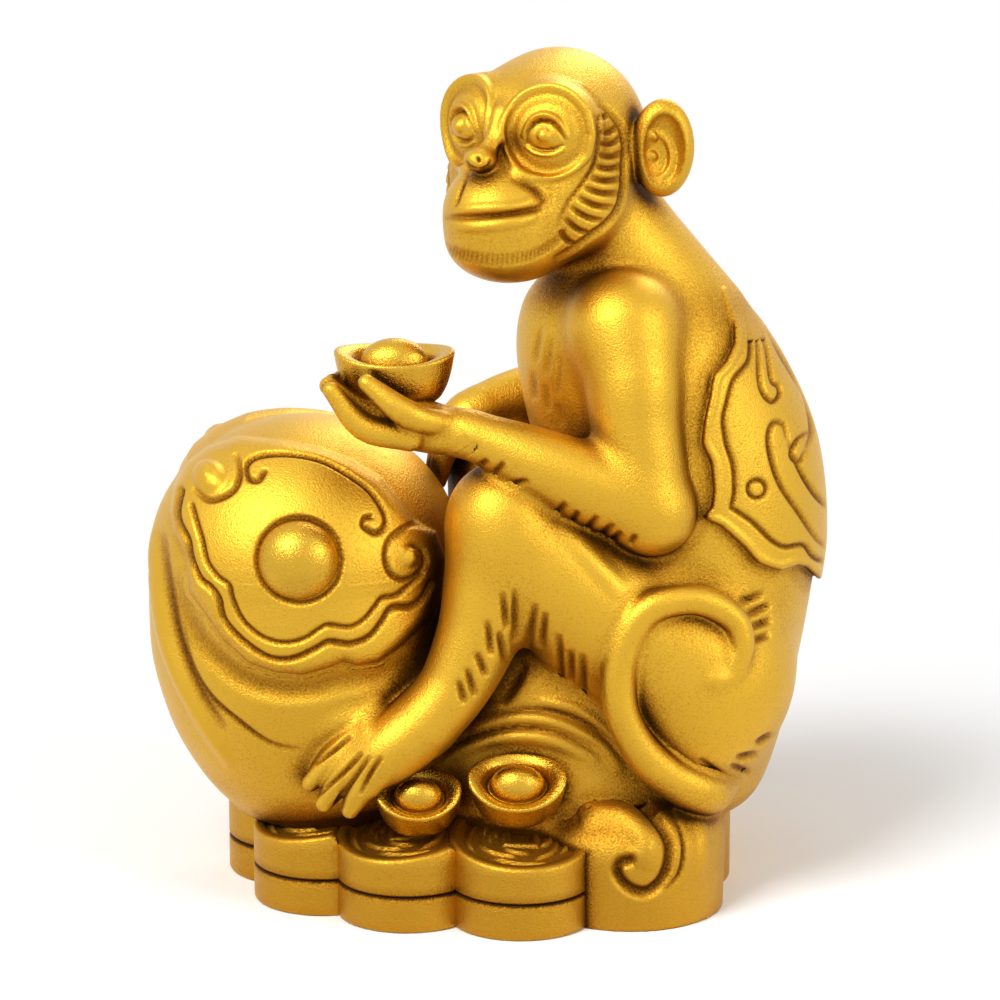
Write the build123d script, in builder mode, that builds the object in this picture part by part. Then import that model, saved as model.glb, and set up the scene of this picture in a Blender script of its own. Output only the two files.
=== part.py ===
"""Cast brass monkey seated on a scroll-headed seat, holding a boat-shaped ingot.

The frame: +X runs from the scroll head in front of the monkey to the monkey's back, -Y is the
monkey's left, which is the side shown, and +Z is up. The origin is the middle of the underside.
All lengths are millimetres. A place on the figure is written as shares of its half length, half
depth and the rise from the deck of the base to the crown; a width or thickness has its own size.
"""

import math
import os

from build123d import *

# Driving dimensions
figure_height = 120.0
half_length = 48.3
half_depth = 31.0

# Castings
cast_wall = 3.0
cut_overrun = 1.0
edge_break = 0.4

# Base and the plate that closes it
base_height = 11.0
base_half_length = 33.0
base_half_depth = 21.0
base_centre_x_share = 0.04
deck_thickness = 3.0
plate_thickness = 2.0
plate_ledge = 1.2
plate_fit = 0.1
core_hole_radius = 6.0

# Coins round the base
coin_radius = 10.0
coin_thickness = 5.2
coin_tilt = 11.0
coin_rim_width = 1.3
coin_face_depth = 0.6
coin_square_half = 1.6

# Cloud lobes at the back of the base
cloud_radius = 13.5
cloud_height = 16.0
cloud_round = 5.0
cloud_curl_radius = 5.4
cloud_curl_wire = 1.3

# Scroll-headed seat
seat_half_width = 22.5
plaque_thickness = 1.6
pearl_radius = 5.7
pearl_rise = 3.6

# Monkey
body_half_width = 18.0
cape_thickness = 1.3
cranium_radius = 13.2
head_turn = 50.0
muzzle_half_length = 8.4
muzzle_half_width = 8.0
muzzle_half_height = 8.2
chin_half_height = 5.4
nose_half_width = 1.9
eye_ring_radius = 6.0
eye_ring_wire = 0.9
eye_disc_thickness = 2.4
eye_ball_radius = 1.8
ear_half_width = 4.3
ear_half_height = 6.7
ear_thickness = 2.6
ear_rim_width = 1.5
shoulder_radius = 8.0
arm_girth = 6.2
forearm_girth = 5.4
elbow_radius = 5.9
palm_girth = 4.2
finger_girth = 1.7
haunch_half_length = 13.5
haunch_half_width = 13.5
haunch_half_height = 16.0
thigh_girth = 11.0
knee_radius = 7.4
shin_girth = 6.4
foot_girth = 5.0
toe_girth = 2.0
tail_girth = 2.6

# Boat-shaped ingots: half length and half width at the rim, height below the rim, and end rise
held_ingot_half_length = 8.3
held_ingot_half_width = 5.2
held_ingot_height = 5.2
held_ingot_end_rise = 1.6
large_ingot_half_length = 6.8
large_ingot_half_width = 4.6
large_ingot_height = 5.0
large_ingot_end_rise = 1.3
small_ingot_half_length = 6.1
small_ingot_half_width = 4.2
small_ingot_height = 4.8
small_ingot_end_rise = 1.1

rise = figure_height - base_height


def at(x_share, y_share, z_share):
    """A place on the figure, from shares of its half length, half depth and rise."""
    return Vector(x_share * half_length, y_share * half_depth, base_height + z_share * rise)


def mirrored(place_shares):
    """The same places on the other side."""
    return [(row[0], -row[1], *row[2:]) for row in place_shares]


def oval(plane, half_across, half_up):
    """An oval on a plane, drawn as four quarter arcs."""
    with BuildSketch(plane) as section:
        with BuildLine():
            for quarter in range(4):
                EllipticalCenterArc(
                    (0, 0), half_across, half_up, start_angle=90 * quarter, arc_size=90
                )
        make_face()
    return section.sketch


def level_sections(level_shares, half_width, margin=0.0):
    """Level ovals; a row is height, front, back and half width, and margin moves the wall out."""
    sections = []
    for height_share, front_share, back_share, width_share in level_shares:
        front = front_share * half_length - margin
        back = back_share * half_length + margin
        level = Plane(((front + back) / 2, 0, base_height + height_share * rise))
        sections.append(oval(level, (back - front) / 2, width_share * half_width + margin))
    return sections


def limb_sections(place_shares, girth, flatness=1.0):
    """Ovals square to a curve; a row is x, y and z shares and the radius as a share of girth."""
    places = [at(*row[:3]) for row in place_shares]
    bone = Spline(*places)
    sections = []
    for place, row in zip(places, place_shares):
        along = bone % bone.param_at_point(place)
        level = Vector(0, 0, 1) if abs(along.Z) < abs(along.X) else Vector(1, 0, 0)
        up = (level - along * along.dot(level)).normalized()
        square = Plane(place, x_dir=up, z_dir=along)
        sections.append(oval(square, row[3] * girth * flatness, row[3] * girth))
    return sections


egg_last_angle = 80.0
egg_levels = 7


def egg_sections(place, half_forward, half_side, half_up):
    """Ovals up an egg: their half sizes follow the cosine of the angle up to each level."""
    sections = []
    for level in range(egg_levels):
        angle = math.radians(egg_last_angle * (2 * level / (egg_levels - 1) - 1))
        plane = place.offset(half_up * math.sin(angle))
        sections.append(oval(plane, half_forward * math.cos(angle), half_side * math.cos(angle)))
    return sections


def finish(piece, name, bigger=()):
    """Cuts the bigger neighbours out of a piece, keeps its largest solid and writes its file."""
    solid = piece.part
    for neighbour in bigger:
        solid = solid - neighbour
    solids = sorted(solid.solids(), key=lambda found: found.volume)
    kept = Part([solids[-1]])
    kept.label = name
    export_step(kept, f"parts/{name}.step")
    return kept


os.makedirs("parts", exist_ok=True)

# Base: an oval casting, hollow from below, with a ledge for the closing plate and two core holes
base_centre_x = base_centre_x_share * half_length
base_plane = Plane((base_centre_x, 0, 0))


def on_base(x_share, y_share):
    """A place on the floor round the base, from shares of the base's half sizes."""
    return Vector(base_centre_x + x_share * base_half_length, y_share * base_half_depth, 0)


with BuildPart() as base_mass_build:
    with BuildSketch(base_plane):
        Ellipse(base_half_length, base_half_depth)
    extrude(amount=base_height)
base_mass = base_mass_build.part

core_hole_shares = [-0.46, 0.52]
ledge_half_length = base_half_length - cast_wall + plate_ledge
ledge_half_depth = base_half_depth - cast_wall + plate_ledge
with BuildPart() as base_shell:
    add(base_mass)
    with BuildSketch(base_plane):
        Ellipse(base_half_length - cast_wall, base_half_depth - cast_wall)
    extrude(amount=base_height - deck_thickness, mode=Mode.SUBTRACT)
    with BuildSketch(base_plane):
        Ellipse(ledge_half_length, ledge_half_depth)
    extrude(amount=plate_thickness, mode=Mode.SUBTRACT)
    with Locations(*[(share * half_length, 0, base_height) for share in core_hole_shares]):
        Hole(core_hole_radius, depth=deck_thickness + cut_overrun)

with BuildPart() as base_plate:
    with BuildSketch(base_plane):
        Ellipse(ledge_half_length - plate_fit, ledge_half_depth - plate_fit)
    extrude(amount=plate_thickness)

finish(base_shell, "base_shell")
finish(base_plate, "base_plate")

# Large hollow castings: the seat and the torso, both open below over a core hole
seat_level_shares = [
    (0, -0.76, -0.17, 0.67),
    (0.046, -0.853, -0.083, 0.80),
    (0.111, -0.936, -0.041, 0.91),
    (0.193, -0.99, -0.031, 0.98),
    (0.276, -1.0, -0.031, 1.0),
    (0.331, -0.99, -0.052, 0.98),
    (0.395, -0.948, -0.104, 0.89),
    (0.458, -0.87, -0.217, 0.71),
    (0.497, -0.766, -0.352, 0.47),
    (0.513, -0.663, -0.497, 0.18),
]
body_level_shares = [
    (0, 0.33, 0.72, 0.78),
    (0.028, 0.31, 0.807, 0.92),
    (0.106, 0.27, 0.87, 1.06),
    (0.216, 0.23, 0.923, 1.11),
    (0.303, 0.217, 0.955, 1.06),
    (0.367, 0.207, 0.97, 1.02),
    (0.45, 0.166, 0.957, 1.0),
    (0.523, 0.114, 0.915, 0.97),
    (0.606, 0.083, 0.822, 0.94),
    (0.67, 0.104, 0.71, 0.80),
    (0.725, 0.186, 0.575, 0.53),
    (0.769, 0.19, 0.50, 0.42),
    (0.82, 0.165, 0.447, 0.36),
]
ground_level_shares = [
    (0, -0.29, 0.69, 0.66),
    (0.064, -0.30, 0.69, 0.66),
    (0.138, -0.26, 0.64, 0.62),
    (0.21, -0.21, 0.58, 0.55),
    (0.284, -0.12, 0.50, 0.42),
]

with BuildPart() as seat_mass_build:
    loft(level_sections(seat_level_shares, seat_half_width))
seat_mass = seat_mass_build.part

with BuildPart() as body_mass_build:
    loft(level_sections(body_level_shares, body_half_width))
body_mass = body_mass_build.part

with BuildPart() as ground_mass_build:
    loft(level_sections(ground_level_shares, half_depth))
ground_mass = ground_mass_build.part

# Head: brain case, muzzle, chin, nose, and eye discs with raised rims
head_x_share = 0.195
head_y_share = -0.032
head_centre = Vector(
    head_x_share * half_length, head_y_share * half_depth, figure_height - cranium_radius
)
head_plane = Plane(head_centre, x_dir=(-1, 0, 0), z_dir=(0, 0, 1)).rotated((0, 0, head_turn))


def on_head(forward_share, left_share, up_share, turn=0.0):
    """A plane on the head, at shares of the brain case's radius, turned about the upright."""
    place = head_plane.from_local_coords(
        Vector(forward_share, left_share, up_share) * cranium_radius
    )
    return Plane(place, x_dir=head_plane.x_dir, z_dir=head_plane.z_dir).rotated((0, 0, turn))


def facing(plane):
    """The plane that looks the way the given plane's forward axis points."""
    return Plane(plane.origin, x_dir=plane.y_dir, z_dir=plane.x_dir)


brain_share = (0, 0, 0)
muzzle_share = (0.94, 0, -0.62)
chin_share = (0.80, 0, -0.98)
nose_share = (1.18, 0, 0.02)
eye_forward_share = 0.80
eye_side_share = 0.50
eye_up_share = 0.28
eye_turn = 28.0

with BuildPart() as head_mass_build:
    loft(egg_sections(on_head(*brain_share), cranium_radius, cranium_radius, cranium_radius))
    loft(
        egg_sections(
            on_head(*muzzle_share), muzzle_half_length, muzzle_half_width, muzzle_half_height
        )
    )
    loft(
        egg_sections(
            on_head(*chin_share), muzzle_half_length, muzzle_half_width, chin_half_height
        )
    )
    loft(egg_sections(on_head(*nose_share), nose_half_width, nose_half_width, nose_half_width))
    for side in (-1, 1):
        eye = facing(
            on_head(eye_forward_share, side * eye_side_share, eye_up_share, side * eye_turn)
        )
        with Locations(eye):
            Cylinder(eye_ring_radius, eye_disc_thickness)
        with Locations(eye.offset(eye_disc_thickness / 2)):
            Torus(eye_ring_radius, eye_ring_wire)
            Sphere(eye_ball_radius)
head_mass = head_mass_build.part
finish(head_mass_build, "head")

# Ears: shallow shells that face half forward, half outward
ear_turn = 40.0
ear_back_share = -0.28
ear_side_share = 1.16
for side, name in ((1, "ear_left"), (-1, "ear_right")):
    ear_place = on_head(ear_back_share, side * ear_side_share, 0, side * ear_turn)
    bowl_centre = ear_place.origin + ear_place.x_dir * ear_thickness
    bowl_place = Plane(bowl_centre, x_dir=ear_place.x_dir, z_dir=ear_place.z_dir)
    with BuildPart() as ear:
        loft(egg_sections(ear_place, ear_thickness, ear_half_width, ear_half_height))
        loft(
            egg_sections(
                bowl_place,
                ear_thickness,
                ear_half_width - ear_rim_width,
                ear_half_height - ear_rim_width,
            ),
            mode=Mode.SUBTRACT,
        )
    finish(ear, name, [head_mass])

with BuildPart() as seat:
    add(seat_mass)
    loft(
        level_sections(seat_level_shares[:-2], seat_half_width, -cast_wall), mode=Mode.SUBTRACT
    )
finish(seat, "scroll_seat")

with BuildPart() as body:
    add(body_mass)
    loft(
        level_sections(body_level_shares[:-3], body_half_width, -cast_wall), mode=Mode.SUBTRACT
    )
finish(body, "torso", [head_mass])

with BuildPart() as ground:
    add(ground_mass)
finish(ground, "ground_mound", [seat_mass, body_mass])

# Plaques and pearls on both faces of the seat: a scalloped panel of one thickness
plaque_shares = [
    (-0.955, 0.42),
    (-0.96, 0.376),
    (-0.892, 0.334),
    (-0.85, 0.297),
    (-0.783, 0.279),
    (-0.60, 0.222),
    (-0.422, 0.24),
    (-0.30, 0.238),
    (-0.195, 0.273),
    (-0.158, 0.298),
    (-0.166, 0.326),
]
plaque_top_shares = [(-0.20, 0.41), (-0.30, 0.468), (-0.44, 0.50), (-0.62, 0.505), (-0.83, 0.472)]


def profile_points(shares):
    """Points of a side outline, from shares of the half length and the rise."""
    return [(x_share * half_length, base_height + z_share * rise) for x_share, z_share in shares]


with BuildPart() as plaque_wall:
    loft(level_sections(seat_level_shares, seat_half_width, plaque_thickness))
for side, name in ((-1, "left"), (1, "right")):
    with BuildPart() as plaque_outline:
        with BuildSketch(Plane.XZ):
            with BuildLine():
                scallops = profile_points(plaque_shares)
                for first in range(0, len(scallops) - 1, 2):
                    ThreePointArc(*scallops[first : first + 3])
                Spline(scallops[-1], *profile_points(plaque_top_shares), scallops[0])
            make_face()
        extrude(amount=-side * half_depth)
    with BuildPart() as plaque:
        add(plaque_wall.part)
        add(plaque_outline.part, mode=Mode.INTERSECT)
    plaque_panel = finish(plaque, f"seat_plaque_{name}", [seat_mass])

    pearl_x_share = -0.537
    pearl_z_share = 0.376
    pearl_width_share = 0.915
    pearl_side = side * (pearl_width_share * seat_half_width + plaque_thickness)
    pearl_place = Plane(
        (pearl_x_share * half_length, pearl_side, base_height + pearl_z_share * rise),
        z_dir=(0, side, 0),
    )
    with BuildPart() as pearl:
        loft(egg_sections(pearl_place, pearl_radius, pearl_radius, pearl_rise))
    finish(pearl, f"seat_pearl_{name}", [plaque_panel, seat_mass])

# Cape over the back, of one thickness, with a lobed border
cape_side_shares = [
    (0.663, 0.711),
    (0.702, 0.66),
    (0.702, 0.634),
    (0.66, 0.611),
    (0.631, 0.585),
    (0.615, 0.544),
    (0.634, 0.504),
    (0.648, 0.461),
    (0.615, 0.422),
]
cape_hem_shares = [
    (0.615, 0.422),
    (0.704, 0.39),
    (0.77, 0.36),
    (0.824, 0.34),
    (0.905, 0.335),
    (0.969, 0.306),
]
cape_outer_shares = [(0.969, 0.306), (1.1, 0.306), (1.1, 0.711), (0.663, 0.711)]
with BuildPart() as cape_outline:
    with BuildSketch(Plane.XZ):
        with BuildLine():
            Spline(*profile_points(cape_side_shares))
            Spline(*profile_points(cape_hem_shares))
            Polyline(*profile_points(cape_outer_shares))
        make_face()
    extrude(amount=half_depth, both=True)
with BuildPart() as cape:
    loft(level_sections(body_level_shares[:-2], body_half_width, cape_thickness))
    add(cape_outline.part, mode=Mode.INTERSECT)
finish(cape, "back_cape", [body_mass])

# Legs: thigh, knee and shin in one casting with the haunch, then the foot with its toes
haunch_share = (0.642, -0.355, 0.193)
knee_share = (0.045, -0.55, 0.415)
thigh_shares = [
    (0.66, -0.32, 0.207, 0.95),
    (0.48, -0.40, 0.251, 1.04),
    (0.28, -0.48, 0.312, 0.96),
    (0.12, -0.53, 0.378, 0.78),
    (0.04, -0.55, 0.422, 0.60),
]
shin_shares = [
    (0.05, -0.55, 0.428, 0.95),
    (0.02, -0.58, 0.361, 1.05),
    (-0.02, -0.62, 0.284, 0.92),
    (-0.09, -0.66, 0.213, 0.78),
    (-0.17, -0.69, 0.163, 0.66),
]
foot_shares = [
    (-0.13, -0.68, 0.191, 0.80),
    (-0.20, -0.70, 0.158, 0.93),
    (-0.29, -0.72, 0.125, 0.93),
    (-0.37, -0.73, 0.10, 0.60),
]
toe_rows_shares = [
    [(-0.33, -0.66, 0.145, 1.0), (-0.43, -0.66, 0.146, 1.0), (-0.51, -0.65, 0.139, 0.7)],
    [(-0.34, -0.70, 0.12, 1.0), (-0.42, -0.72, 0.085, 1.0), (-0.48, -0.73, 0.055, 0.7)],
    [(-0.32, -0.74, 0.115, 1.0), (-0.37, -0.78, 0.078, 1.0), (-0.41, -0.80, 0.045, 0.7)],
    [(-0.27, -0.78, 0.115, 1.0), (-0.30, -0.83, 0.08, 1.0), (-0.32, -0.85, 0.047, 0.7)],
]


def leg_mass(flip):
    """Haunch, thigh, knee and shin of one leg, before its neighbours are cut out."""
    haunch_plane = Plane(at(*flip([haunch_share])[0]))
    knee_plane = Plane(at(*flip([knee_share])[0]))
    with BuildPart() as leg:
        loft(
            egg_sections(haunch_plane, haunch_half_length, haunch_half_width, haunch_half_height)
        )
        loft(limb_sections(flip(thigh_shares), thigh_girth))
        loft(egg_sections(knee_plane, knee_radius, knee_radius, knee_radius))
        loft(limb_sections(flip(shin_shares), shin_girth))
    return leg


def foot_mass(flip):
    """One foot with its four toes, before its neighbours are cut out."""
    with BuildPart() as foot:
        loft(limb_sections(flip(foot_shares), foot_girth))
        for toe_shares in toe_rows_shares:
            loft(limb_sections(flip(toe_shares), toe_girth))
    return foot


leg_masses = {}
for name, flip in (("left", list), ("right", mirrored)):
    leg = leg_mass(flip)
    leg_masses[name] = leg.part
    finish(leg, f"leg_{name}", [body_mass, seat_mass, ground_mass])
    foot = foot_mass(flip)
    finish(foot, f"foot_{name}", [leg.part, seat_mass, ground_mass])

# Left arm, held forward with the palm up under the ingot
left_shoulder_share = (0.385, -0.37, 0.655)
left_upper_arm_shares = [
    (0.396, -0.40, 0.652, 1.16),
    (0.414, -0.50, 0.596, 1.10),
    (0.424, -0.548, 0.541, 1.0),
    (0.455, -0.605, 0.459, 0.90),
    (0.466, -0.61, 0.431, 0.82),
]
left_forearm_shares = [
    (0.476, -0.613, 0.436, 0.90),
    (0.331, -0.629, 0.463, 1.04),
    (0.166, -0.639, 0.495, 0.91),
    (0.021, -0.629, 0.523, 0.69),
    (-0.062, -0.613, 0.535, 0.61),
]
left_palm_shares = [
    (-0.041, -0.613, 0.534, 0.80),
    (-0.145, -0.581, 0.539, 0.98),
    (-0.248, -0.548, 0.55, 1.05),
    (-0.311, -0.532, 0.562, 0.80),
]
left_finger_rows_shares = [
    [(-0.26, -0.68, 0.555, 1.0), (-0.36, -0.68, 0.569, 1.0), (-0.435, -0.67, 0.597, 0.75)],
    [(-0.26, -0.585, 0.555, 1.0), (-0.365, -0.585, 0.567, 1.0), (-0.45, -0.575, 0.594, 0.75)],
    [(-0.26, -0.49, 0.555, 1.0), (-0.36, -0.49, 0.567, 1.0), (-0.44, -0.48, 0.592, 0.75)],
    [(-0.26, -0.40, 0.555, 1.0), (-0.345, -0.39, 0.567, 1.0), (-0.42, -0.38, 0.59, 0.75)],
]
# Right arm, bent with the hand laid on the right knee
right_shoulder_share = (0.385, 0.39, 0.655)
right_upper_arm_shares = [
    (0.391, 0.43, 0.652, 1.14),
    (0.373, 0.516, 0.596, 1.05),
    (0.311, 0.597, 0.541, 0.95),
    (0.248, 0.629, 0.514, 0.86),
]
right_forearm_shares = [
    (0.259, 0.629, 0.509, 0.93),
    (0.145, 0.581, 0.509, 0.85),
    (0.041, 0.516, 0.505, 0.70),
    (0, 0.484, 0.50, 0.63),
]
right_palm_shares = [
    (0.01, 0.484, 0.50, 0.79),
    (-0.052, 0.452, 0.491, 1.0),
    (-0.114, 0.435, 0.468, 0.81),
]
right_finger_rows_shares = [
    [(-0.08, 0.32, 0.475, 1.0), (-0.13, 0.31, 0.445, 1.0), (-0.15, 0.31, 0.41, 0.75)],
    [(-0.09, 0.41, 0.475, 1.0), (-0.14, 0.41, 0.445, 1.0), (-0.165, 0.41, 0.405, 0.75)],
    [(-0.09, 0.50, 0.475, 1.0), (-0.14, 0.50, 0.445, 1.0), (-0.165, 0.50, 0.405, 0.75)],
    [(-0.08, 0.59, 0.475, 1.0), (-0.125, 0.60, 0.445, 1.0), (-0.145, 0.60, 0.41, 0.75)],
]
palm_flatness = 0.72


def arm_mass(shoulder_share, upper_shares, forearm_shares):
    """Shoulder, upper arm, elbow and forearm, before their neighbours are cut out."""
    shoulder_plane = Plane(at(*shoulder_share))
    elbow_plane = Plane(at(*upper_shares[-1][:3]))
    with BuildPart() as arm:
        loft(egg_sections(shoulder_plane, shoulder_radius, shoulder_radius, shoulder_radius))
        loft(limb_sections(upper_shares, arm_girth))
        loft(egg_sections(elbow_plane, elbow_radius, elbow_radius, elbow_radius))
        loft(limb_sections(forearm_shares, forearm_girth))
    return arm


def hand_mass(palm_shares, finger_rows_shares):
    """A hand with four fingers, before its neighbours are cut out."""
    with BuildPart() as hand:
        loft(limb_sections(palm_shares, palm_girth, palm_flatness))
        for finger_shares in finger_rows_shares:
            loft(limb_sections(finger_shares, finger_girth))
    return hand


left_arm = arm_mass(left_shoulder_share, left_upper_arm_shares, left_forearm_shares)
finish(left_arm, "arm_left", [body_mass, head_mass, leg_masses["left"]])
right_arm = arm_mass(right_shoulder_share, right_upper_arm_shares, right_forearm_shares)
finish(right_arm, "arm_right", [body_mass, head_mass, leg_masses["right"]])
right_hand = hand_mass(right_palm_shares, right_finger_rows_shares)
finish(right_hand, "hand_right", [right_arm.part, leg_masses["right"]])

# Tail: from under the haunch forward, up and back over in a curl
tail_shares = [
    (0.718, -0.516, 0.057, 1.35),
    (0.613, -0.613, 0.066, 1.30),
    (0.518, -0.70, 0.094, 1.15),
    (0.435, -0.755, 0.134, 1.0),
    (0.383, -0.78, 0.183, 0.92),
    (0.373, -0.775, 0.236, 0.92),
    (0.398, -0.765, 0.282, 0.92),
    (0.455, -0.755, 0.317, 0.85),
    (0.547, -0.73, 0.328, 0.80),
    (0.631, -0.71, 0.322, 0.78),
    (0.706, -0.69, 0.297, 0.70),
    (0.727, -0.695, 0.263, 0.65),
    (0.694, -0.71, 0.231, 0.60),
    (0.642, -0.73, 0.221, 0.45),
]
with BuildPart() as tail:
    loft(limb_sections(tail_shares, tail_girth))
finish(tail, "tail", [body_mass, leg_masses["left"], ground_mass])

# Boat-shaped ingots: a hull hollowed along its length, with a dome in the middle
hull_level_shares = [(-1.0, 0.5), (-0.55, 0.74), (0.0, 0.95), (0.35, 1.0)]
dome_length_share = 0.56
dome_width_share = 0.74
dome_height_share = 0.55


def boat_ingot(place, half_long, half_wide, height, end_rise):
    """An ingot at a plane in the middle of its rim; its rim ends stand end_rise above that."""
    saddle_radius = half_long**2 / (2 * end_rise)
    with BuildPart() as ingot:
        hull = []
        for level_share, size_share in hull_level_shares:
            level = place.offset(level_share * height)
            hull.append(oval(level, size_share * half_long, size_share * half_wide))
        loft(hull)
        with Locations(place.offset(saddle_radius)):
            Cylinder(saddle_radius, 4 * half_wide, rotation=(90, 0, 0), mode=Mode.SUBTRACT)
        dome_half_length = dome_length_share * half_long
        dome_half_width = dome_width_share * half_wide
        loft(egg_sections(place, dome_half_length, dome_half_width, dome_height_share * height))
    return ingot


held_ingot_share = (-0.265, -0.484, 0.618)
held_ingot = boat_ingot(
    Plane(at(*held_ingot_share)),
    held_ingot_half_length,
    held_ingot_half_width,
    held_ingot_height,
    held_ingot_end_rise,
)
finish(held_ingot, "held_ingot")
left_hand = hand_mass(left_palm_shares, left_finger_rows_shares)
finish(left_hand, "hand_left", [left_arm.part, held_ingot.part])

# Coins in stacks of two round the base, each top one tilted outward, with a rim and a square
coin_stack_shares = [
    ("near_right", 0.0805, -0.9994),
    ("near_middle", -0.401, -0.8473),
    ("near_left", -0.764, -0.5004),
    ("front_end", -0.8943, 0.1181),
    ("far_left", -0.7025, 0.5905),
    ("far_middle", -0.3513, 0.871),
    ("far_right", 0.1025, 0.9994),
]
coin_masses = []
for name, x_share, y_share in coin_stack_shares:
    foot_place = on_base(x_share, y_share)
    outward = (foot_place - Vector(base_centre_x, 0, 0)).normalized()
    with BuildPart() as lower_coin:
        with Locations(foot_place):
            Cylinder(
                coin_radius, coin_thickness, align=(Align.CENTER, Align.CENTER, Align.MIN)
            )
        chamfer(lower_coin.edges().filter_by(GeomType.CIRCLE), edge_break)
    tilt = math.radians(coin_tilt)
    face_height = 2 * coin_thickness + coin_radius * math.tan(tilt)
    face_plane = Plane(
        foot_place + Vector(0, 0, face_height),
        x_dir=outward.cross(Vector(0, 0, 1)),
        z_dir=outward * math.sin(tilt) + Vector(0, 0, math.cos(tilt)),
    )
    with BuildPart() as upper_coin:
        with Locations(foot_place + Vector(0, 0, coin_thickness)):
            Cylinder(
                coin_radius, coin_radius, align=(Align.CENTER, Align.CENTER, Align.MIN)
            )
        with Locations(face_plane):
            Box(
                4 * coin_radius,
                4 * coin_radius,
                2 * coin_radius,
                align=(Align.CENTER, Align.CENTER, Align.MIN),
                mode=Mode.SUBTRACT,
            )
        with BuildSketch(face_plane.offset(-coin_face_depth)):
            Circle(coin_radius - coin_rim_width)
            Rectangle(2 * coin_square_half, 2 * coin_square_half, mode=Mode.SUBTRACT)
        extrude(amount=coin_radius, mode=Mode.SUBTRACT)
    cutters = [base_mass, ground_mass, seat_mass, *coin_masses[-1:]]
    finish(lower_coin, f"coin_{name}_lower", cutters)
    finish(upper_coin, f"coin_{name}_upper", cutters)
    coin_masses.append(lower_coin.part + upper_coin.part)

# Ingots lying on the near coins, tipped towards the side shown
loose_ingot_tilt = 15.0
large_ingot_share = (0.085, -0.74, 0.078)
small_ingot_share = (-0.20, -0.71, 0.06)
large_ingot_plane = Plane(at(*large_ingot_share)).rotated((loose_ingot_tilt, 0, 0))
large_ingot = boat_ingot(
    large_ingot_plane,
    large_ingot_half_length,
    large_ingot_half_width,
    large_ingot_height,
    large_ingot_end_rise,
)
finish(large_ingot, "large_loose_ingot", [ground_mass, *coin_masses[:2]])
small_ingot_plane = Plane(at(*small_ingot_share)).rotated((loose_ingot_tilt, 0, 0))
small_ingot = boat_ingot(
    small_ingot_plane,
    small_ingot_half_length,
    small_ingot_half_width,
    small_ingot_height,
    small_ingot_end_rise,
)
finish(small_ingot, "small_loose_ingot", [ground_mass, large_ingot.part, *coin_masses[:2]])

# Cloud lobes behind the coins, one each side, with a raised curl
cloud_x_share = 0.5167
cloud_y_share = 0.6495
curl_forward_share = 0.2147
curl_z_share = 0.0
cloud_neighbours = [(-1, "left", [coin_masses[0], tail.part]), (1, "right", [coin_masses[-1]])]
for side, name, neighbours in cloud_neighbours:
    cloud_centre = on_base(cloud_x_share, side * cloud_y_share)
    curl_centre = Vector(
        cloud_centre.X + curl_forward_share * cloud_radius,
        cloud_centre.Y + side * (cloud_radius - cloud_curl_wire),
        base_height + curl_z_share * rise,
    )
    with BuildPart() as cloud:
        with Locations(cloud_centre):
            Cylinder(cloud_radius, cloud_height, align=(Align.CENTER, Align.CENTER, Align.MIN))
        fillet(cloud.edges().group_by(Axis.Z)[-1], cloud_round)
        with Locations(Plane(curl_centre, z_dir=(0, side, 0))):
            Torus(cloud_curl_radius, cloud_curl_wire)
    finish(cloud, f"cloud_{name}", [base_mass, ground_mass, body_mass, *neighbours])
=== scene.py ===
"""Looks for the cast brass monkey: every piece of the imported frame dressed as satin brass.

The flowing masses (head, body, limbs, seat, ground) are sculpted: a distance field of eggs, tapered
limbs and level ovals is melted together in numpy, cut into one closed skin for each piece, and its
skin is then engraved. A wax figure melts its joints the same way, which no single two-parameter
surface can do. Coins, pearls and ingots are two-parameter surfaces. Lengths are millimetres until a
mesh is made; places on the picture are pixels of the 1000 x 1000 photograph.
"""

import logging
import math
from collections.abc import Callable
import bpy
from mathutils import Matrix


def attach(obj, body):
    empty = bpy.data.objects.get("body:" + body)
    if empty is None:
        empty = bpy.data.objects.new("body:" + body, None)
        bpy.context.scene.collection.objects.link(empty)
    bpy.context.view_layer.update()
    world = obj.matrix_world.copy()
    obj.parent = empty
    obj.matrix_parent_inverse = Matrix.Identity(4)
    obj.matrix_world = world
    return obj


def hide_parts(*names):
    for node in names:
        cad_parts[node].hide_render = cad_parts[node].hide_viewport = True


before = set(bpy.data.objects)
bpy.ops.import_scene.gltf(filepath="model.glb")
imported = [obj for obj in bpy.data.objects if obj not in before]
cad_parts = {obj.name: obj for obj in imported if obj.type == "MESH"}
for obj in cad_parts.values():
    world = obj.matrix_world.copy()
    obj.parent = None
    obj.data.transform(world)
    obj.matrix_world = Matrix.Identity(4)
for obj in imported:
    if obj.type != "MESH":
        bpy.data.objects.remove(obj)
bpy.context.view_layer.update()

from concurrent.futures import ThreadPoolExecutor
from dataclasses import dataclass, field
from enum import Enum
from functools import partial

import bpy
import numpy as np

LOG = logging.getLogger("monkey")
# Two arrays that belong together
Pair = tuple[np.ndarray, np.ndarray]
# Name, vertices, quads and painted shade depths of a turned piece
Surface = tuple[str, np.ndarray, np.ndarray, np.ndarray]
# Metres in a millimetre
MM = 0.001
# Distance in millimetres that stands where no shape is near
FAR = 60.0
# How far outside its box a shape is still read, in millimetres
MARGIN = 6.0
# Points read at a time
CHUNK = 60000
# Cells along the side of a block of the sculpting grid
BLOCK = 4
# Forms sculpted side by side
WORKERS = 4
# Depth of a panel's hidden back under the mass that it lies on, in millimetres
PANEL_BACK = 1.1
# Turns the far side into the near one
FLIP = np.float32((1, -1, 1))
AS_IS = np.float32((1, 1, 1))


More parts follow.
